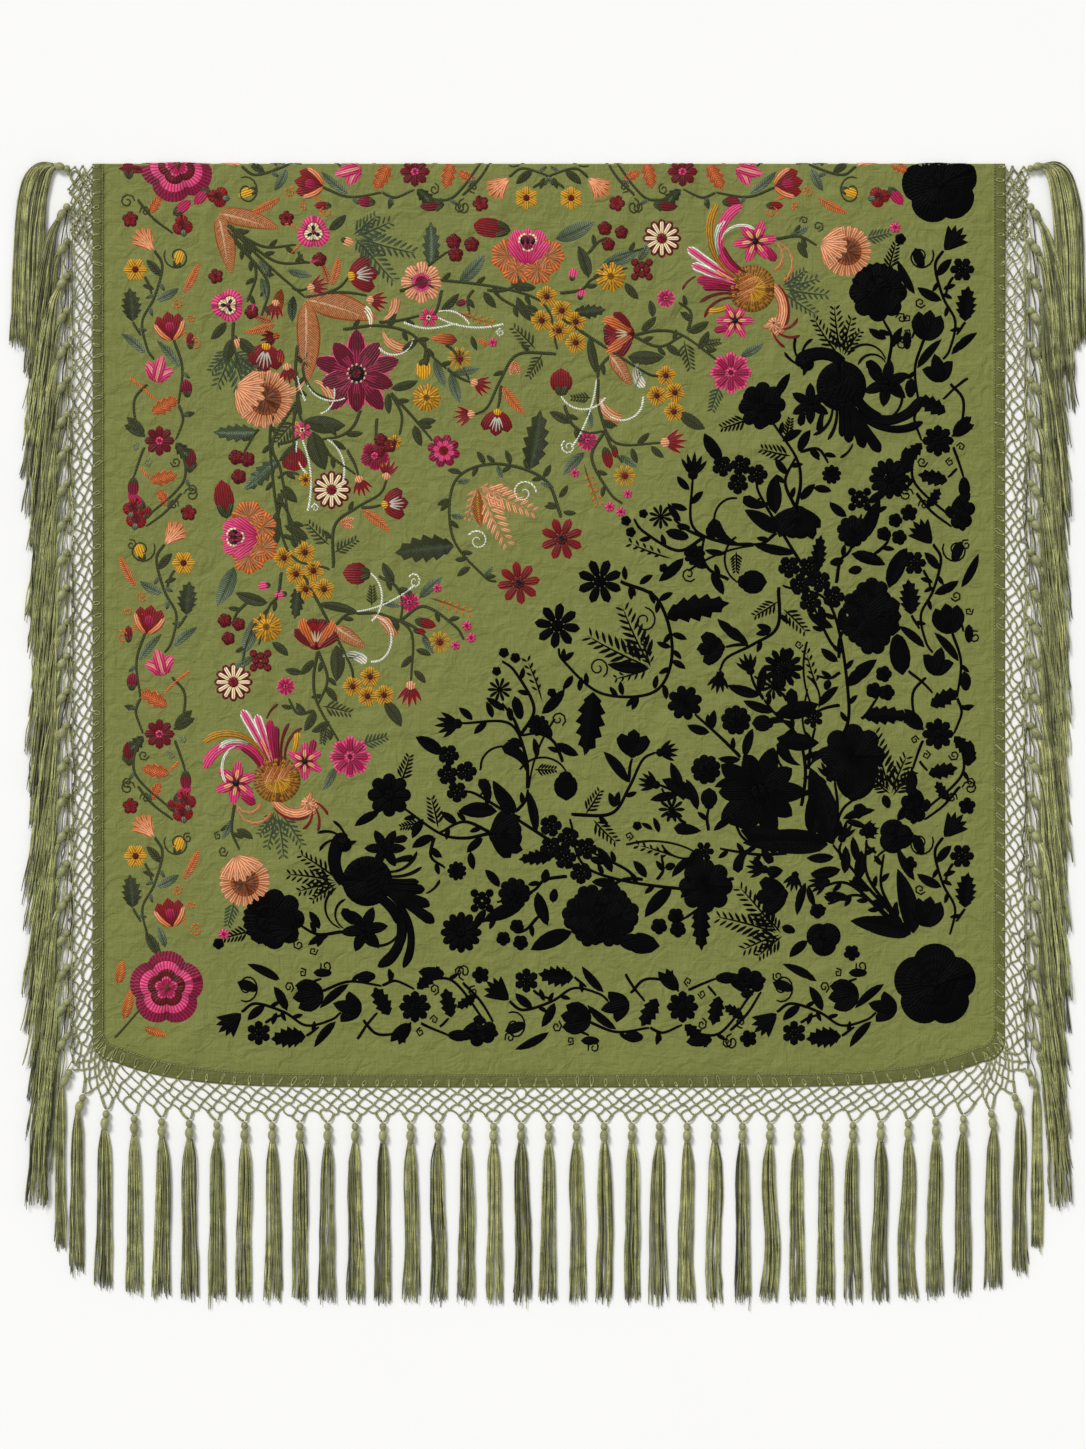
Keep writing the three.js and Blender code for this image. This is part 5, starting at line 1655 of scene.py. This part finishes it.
LEFT_ONLY = [
    # these places are on the picture itself, in the lower coloured quarter
    (daisy, 334, 490, 20, 0, 12, "cream", "cream", "red", "dark_red", 0.74, 0, "dark_red"),
    (berry, 383, 440, 7, 0), (berry, 392, 446, 7, 0), (berry, 381, 452, 7, 0),
    (yellow_flower, 397, 442, 6, 0), (carnation, 264, 398, 31, -22), (leaf, 305, 421, 44, -6, 19),
    (leaf, 315, 431, 42, -72, 21), (fern, 298, 420, 31, -130, "olive", 6, 0.5),
    (leaf, 298, 421, 22, -65, 7, "peach", "orange", "red"),
    (petal_of, 297, 445, 27, -90, 27, "dark_red", "red"),
    (toothed_leaf, 281, 460, 44, -137, 18, "grey_green", "grey_green", "teal"),
    (leaf, 286, 485, 23, -52, 10), (leaf, 279, 511, 27, -85, 10), (leaf, 291, 519, 29, -52, 10),
    (leaf, 347, 434, 19, 3, 7), (leaf, 335, 440, 17, -35, 7),
    (daisy, 377, 456, 15, 0, 5, "dark_red", "crimson", "pink", "magenta", 1.0, 60, "magenta"),
    (yellow_flower, 308, 480, 6, 0), (leaf, 236, 338, 29, -105, 12), (leaf, 240, 338, 28, -40, 12),
    (crown, 281, 336, 18, 195, "red", "dark_red", "orange"),
    (leaf, 284, 289, 30, -98, 12, "rust", "orange", "dark_gold"), (grey_leaf, 296, 296, 27, -92, 10),
    (petal_of, 283, 349, 16, -100, 13, "magenta", "orange"),
    # and this one in the upper coloured quarter
    (scalloped, 424, 283, 21, 0),
]
LEFT_STEMS = [
    ("olive", [(299, 372), (300, 400), (303, 418), (312, 432)]),
    ("olive", [(300, 405), (296, 422), (296, 446)]),
    ("olive", [(300, 400), (275, 442), (283, 470), (289, 505), (292, 530)]),
    ("olive", [(286, 490), (282, 508), (275, 522), (262, 526)]),
    ("olive", [(363, 410), (356, 426), (343, 436), (320, 440)]), ("olive", [(379, 418), (378, 445)]),
    ("olive", [(393, 393), (404, 415), (402, 436)]), ("olive", [(236, 322), (236, 345), (245, 375)]),
]
BLACK_ONLY = [
    (daisy, 785, 668, 20, 0, 12, "black", "black", "black", "black", 1.0), (leaf, 778, 713, 42, 12, 18),
    (leaf, 778, 738, 42, -6, 18), (peony, 603, 917, 34, 90), (scalloped, 765, 405, 22, 0),
    (scalloped, 880, 293, 28, 0), (leaf, 700, 800, 40, 150, 15), (leaf, 742, 830, 52, -8, 20),
    (leaf, 812, 838, 60, 80, 24), (leaf, 690, 890, 44, 78, 18), (scalloped, 855, 756, 31, 0),
    (scalloped, 708, 886, 26, 0), (scalloped, 277, 919, 29, 0),
]

# the border: one unit of its vine as it lies at the left edge. The next unit is 293 px further down
# and mirrored about x = 162.
VINE = [
    (round_flower, 133, 220, 8.5, 0, 5, "dark_red", "red", "red"),
    (lily, 156, 251, 27, 130, "peach", "orange", 90, 5), (lacy_leaf, 153, 214, 20, 60),
    (bud, 177, 215, 22, 40, 12, "magenta"), (lobed, 185, 226, 11, 100), (leaf, 163, 277, 22, 130),
    (daisy, 138, 270, 12, 0, 6, "gold", "yellow", "dark_red", "dark_red", 1.05),
    (leaf, 158, 301, 27, 28, 10, "teal", "grey_green", "olive"),
    (leaf, 185, 295, 37, 63, 9, "salmon", "orange", "rust"), (toothed_leaf, 135, 322, 33, 95, 20),
    (closed_tulip, 175, 341, 30, 100), (leaf, 149, 355, 33, 140, 9, "teal", "grey_green", "olive"),
    (leaf, 183, 369, 37, 130, 9, "teal", "grey_green", "olive"), (bud, 193, 349, 17, 90, 9, "red"),
    (lily, 158, 383, 27, 75, "magenta", "pink", 120, 3, 0.52), (bud, 190, 397, 18, 95, 12, "crimson"),
    (lacy_leaf, 154, 413, 30, 28),
    (daisy, 162, 441, 15.5, 0, 8, "dark_red", "dark_red", "pink", "crimson", 1.15),
    (leaf, 147, 437, 27, 132), (leaf, 147, 437, 24, 150), (toothed_leaf, 178, 443, 30, -45, 14),
    (lacy_leaf, 152, 481, 28, 12), (bud, 136, 478, 20, -92, 12, "crimson"), (lobed, 136, 508, 11, 70),
    (bud, 149, 518, 12, 80, 10, "red"), (bud, 132, 179, 24, 95, 12, "dark_red"), (leaf, 186, 470, 15, 20),
    (bud, 178, 268, 20, 70, 11, "yellow"), (leaf, 157, 290, 13, 160), (leaf, 141, 425, 14, 200),
    (leaf, 184, 415, 14, 10),
]
VINE_STEMS = [
    ("olive", [(140, 200), (156, 219), (176, 234)]),
    ("olive", [(157, 251), (165, 267), (157, 298), (145, 322), (150, 349), (157, 360)]),
    ("olive", [(147, 277), (152, 286), (155, 298)]), ("orange", [(176, 318), (184, 328), (188, 339)]),
    ("orange", [(132, 378), (145, 388), (157, 400)]), ("olive", [(176, 339), (185, 369), (181, 405)]),
    ("olive", [(150, 384), (137, 400), (139, 425), (148, 437)]),
    ("olive", [(181, 405), (185, 415), (185, 423), (178, 441)]),
    ("olive", [(179, 446), (187, 461), (187, 479), (176, 494), (156, 511), (146, 520)]),
    ("olive", [(147, 447), (142, 460), (136, 478)]), ("olive", [(136, 521), (136, 533)]),
    ("orange", [(143, 468), (148, 474), (152, 478)]), ("olive", [(135, 322), (140, 330), (144, 336)]),
]
VINE_CURLS = [
    (148, 212, 6, 200, "olive", -1), (199, 344, 7, 60, "orange", 1), (134, 545, 6, 120, "olive", -1),
    (130, 202, 8, 0, "olive", 1), (180, 257, 14, 150, "olive", 1), (180, 303, 6, 200, "orange", 1),
    (193, 318, 5, 30, "orange", -1), (139, 447, 5, 0, "teal", 1), (150, 462, 5, 90, "teal", -1),
    (178, 462, 6, 180, "olive", 1), (194, 489, 6, 240, "olive", 1),
]

sew_table(SPRAY, TOP, LEFT, RIGHT, BOTTOM)
sew_table(DIAGONAL, TOP, RIGHT)
for quarter in (TOP, RIGHT, BOTTOM):
    sew_table(NOT_LEFT, quarter)
for dye_and_painted_light, places in LEFT_STEMS:
    sew_stalk(places, TOP, dye_and_painted_light)
sew_table(LEFT_ONLY, TOP)
sew_table(BLACK_ONLY, TOP, black=True)
for stems, curls, quarters in ((SPRAY_STEMS, SPRAY_CURLS, (TOP, LEFT, RIGHT, BOTTOM)),
                               (DIAGONAL_STEMS, DIAGONAL_CURLS, (TOP, RIGHT))):
    for quarter in quarters:
        for dye_and_painted_light, places in stems:
            sew_stalk(places, quarter, dye_and_painted_light)
            for x, y, turn in sprouts(places, SPRAY + DIAGONAL) if dye_and_painted_light == "olive" else ():
                sew(x, y, turn, leaf(12.5, 5.4), quarter)
        for x, y, radius, turn, dye_and_painted_light, way in curls:
            keep(*curl((x, y), radius, turn, dye_and_painted_light, way), quarter)
sew_scrolls(LEFT_SCROLLS, TOP)
for quarter in (TOP, LEFT, RIGHT, BOTTOM):
    sew_scrolls(SCROLLS, quarter)
    for wide, tip_dye, quill_dye, edge, *line in PLUMES:
        keep(*feather(bent_line(*line), wide, tip_dye, quill_dye, edge), quarter)

# the borders: the vine runs down the left side, along the fold both ways from its middle, and
# in black along the bottom and down the right side
BORDERS = [
    (([[1, 0], [0, 1]], (0, 0), [[1, 0], [0, 1]], False), 165, 935),
    (([[0, 0.913], [1.095, 0]], (14.66, -5.03), [[0, -1], [-1, 0]], False), 210, 588),
    (([[0, -0.913], [1.095, 0]], (1087.34, -5.03), [[0, 1], [-1, 0]], False), 210, 588),
    (([[0, 0.913], [-1.095, 0]], (14.66, 1184.0), [[0, -1], [1, 0]], True), 230, 975),
    (([[-1, 0], [0, 1]], (1102, 0), [[-1, 0], [0, 1]], True), 232, 935),
]
VINE_LENGTH = 293
VINE_MIDDLE = 162
for quarter, start, end in BORDERS:
    matrix, shift, turning, dark = quarter
    for unit in range(4):
        way = -1 if unit % 2 else 1
        down = VINE_LENGTH * unit
        place = (matrix, shift, np.array(turning) @ np.array([[way, 0], [0, 1]]), dark)

        def across(x):
            return VINE_MIDDLE + way * (x - VINE_MIDDLE)

        for kind, x, y, size, turn, *more in VINE:
            if start < y + down < end:
                sew(across(x), y + down, turn, kind(size, *more), place)
        for dye_and_painted_light, places in VINE_STEMS:
            shown = [(across(x), y + down) for x, y in places if start - 6 < y + down < end + 6]
            if len(shown) > 2:
                sew_stem(shown, quarter, dye_and_painted_light, 3.4, 2.5)
                for x, y, turn in sprouts(places, VINE, 13.0):
                    if start < y + down < end:
                        sew(across(x), y + down, turn, leaf(11, 4.6, "teal", "olive"), place)
        for x, y, radius, turn, dye_and_painted_light, round_way in VINE_CURLS:
            if start < y + down < end:
                turn = turn if way == 1 else 180 - turn
                keep(*curl((across(x), y + down), radius, turn, dye_and_painted_light, way * round_way), quarter)
for x, y, size, turn, dark in (
    (169, 988, 38, 0, False), (180, 166, 38, 20, False), (942, 186, 37, 10, True), (937, 985, 40, 0, True),
):
    sew(x, y, turn, rose(size), TOP, dark)
CORNER_LEAVES = [
    (leaf, 120, 985, 26, 80, 11, "rust", "orange", "gold"),
    (leaf, 126, 1020, 32, 78, 11, "rust", "orange", "gold"),
    (leaf, 146, 1027, 26, -18, 9, "rust", "orange", "gold"), (grey_leaf, 150, 1018, 30, 60),
    (grey_leaf, 168, 948, 24, 110), (leaf, 160, 955, 26, 118),
    (leaf, 150, 172, 30, 175, 9, "dark_red", "red", "black"),
]
sew_table(CORNER_LEAVES, TOP)
sew_stem([(117, 1038), (128, 1026), (140, 1012), (152, 1000)], TOP)
sew_stem([(160, 942), (162, 950), (166, 960)], TOP)


def satin_floss(name, gloss, shine):
    """Embroidery floss in satin stitch: flat untwisted silk laid side by side, so it shines along the
    threads and darkens between them. That light is painted into the base colour: a painted highlight
    along each thread and painted shade between them, with a little random tone. They are 0.6 mm apart
    and are drawn at 3.7 mm, so that they show."""
    material, tree, shader = new_material(name, Roughness=gloss, Specular_IOR_Level=shine)
    threads = add_node(tree, "ShaderNodeUVMap", uv_map="threads").outputs[0]
    lines = add_node(tree, "ShaderNodeTexWave", {
        "Vector": threads, "Scale": 84.0, "Distortion": 2.6, "Detail": 2.0, "Detail Scale": 1.2,
    }, wave_type="BANDS", bands_direction="X").outputs["Fac"]
    # painted highlight and painted shade: the bands scale the colour from 0.42 between the threads to 1.3
    # along them
    share = ranged(tree, lines, 0.0, 1.0, **{"To Min": 0.42, "To Max": 1.3})
    vary = ranged(tree, noise(tree, threads, 160.0, 2.0), 0.3, 0.7, **{"To Min": 0.84, "To Max": 1.14})
    strength = add_node(tree, "ShaderNodeMath", {0: share, 1: vary}, operation="MULTIPLY").outputs[0]
    dye_and_painted_light = add_node(tree, "ShaderNodeAttribute", attribute_name="dye_and_painted_light").outputs["Color"]
    thread = add_node(tree, "ShaderNodeVectorMath", {0: dye_and_painted_light, "Scale": strength}, operation="SCALE")
    tree.links.new(thread.outputs[0], shader.inputs["Base Color"])
    bumped(tree, shader, lines, 0.75, 0.0009)
    return material


colour_floss = satin_floss("satin_stitch_silk_floss_coloured", 0.5, 0.26)
black_floss = satin_floss("satin_stitch_silk_floss_black", 0.62, 0.05)
# how far round the fold the embroidery goes
WRAP_END = FOLD_RADIUS * math.radians(104)
STITCH_RELIEF = 1.35
# triangles to a piece
PART_LIMIT = 170000


def put_embroidery(name, patches, material):
    """Lays the kept patches on the cloth's own height and makes one object of them. What would lie on the
    turned border, past the fold, is left out."""
    points, uv, dye_and_painted_light, faces, start = [], [], [], [], 0
    for x, y, high, uv_one, dye_one, faces_one, _ in patches:
        past = y - (FOLD_Y - FOLD_RADIUS)
        kept = (past[faces_one] < WRAP_END).any(axis=1)
        if not kept.any():
            continue
        y = np.minimum(y, FOLD_Y - FOLD_RADIUS + WRAP_END)
        x = np.clip(x, -STITCH_LINE[0] + 1, STITCH_LINE[0] - 1)
        height = cloth_height(x, np.minimum(y, FOLD_Y - FOLD_RADIUS))
        height += high * np.where(high > 0, STITCH_RELIEF, 1)
        points.append(round_fold(x, y, height))
        uv.append(uv_one)
        dye_and_painted_light.append(dye_one)
        faces.append(faces_one[kept] + start)
        start += len(x)
    made = put_mesh(name, np.concatenate(points), faces, material, np.concatenate(uv), np.concatenate(dye_and_painted_light))
    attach(made, "root")
    return made


for group, material in (("colour", colour_floss), ("black", black_floss)):
    patches = [patch for patch in sewn if patch[6] == group]
    sizes = np.cumsum([2 * len(patch[5]) for patch in patches])
    parts = sizes // PART_LIMIT
    for number in range(int(parts[-1]) + 1):
        chosen = [patch for patch, part in zip(patches, parts) if part == number]
        put_embroidery(f"embroidery_{group}_{number + 1}", chosen, material)
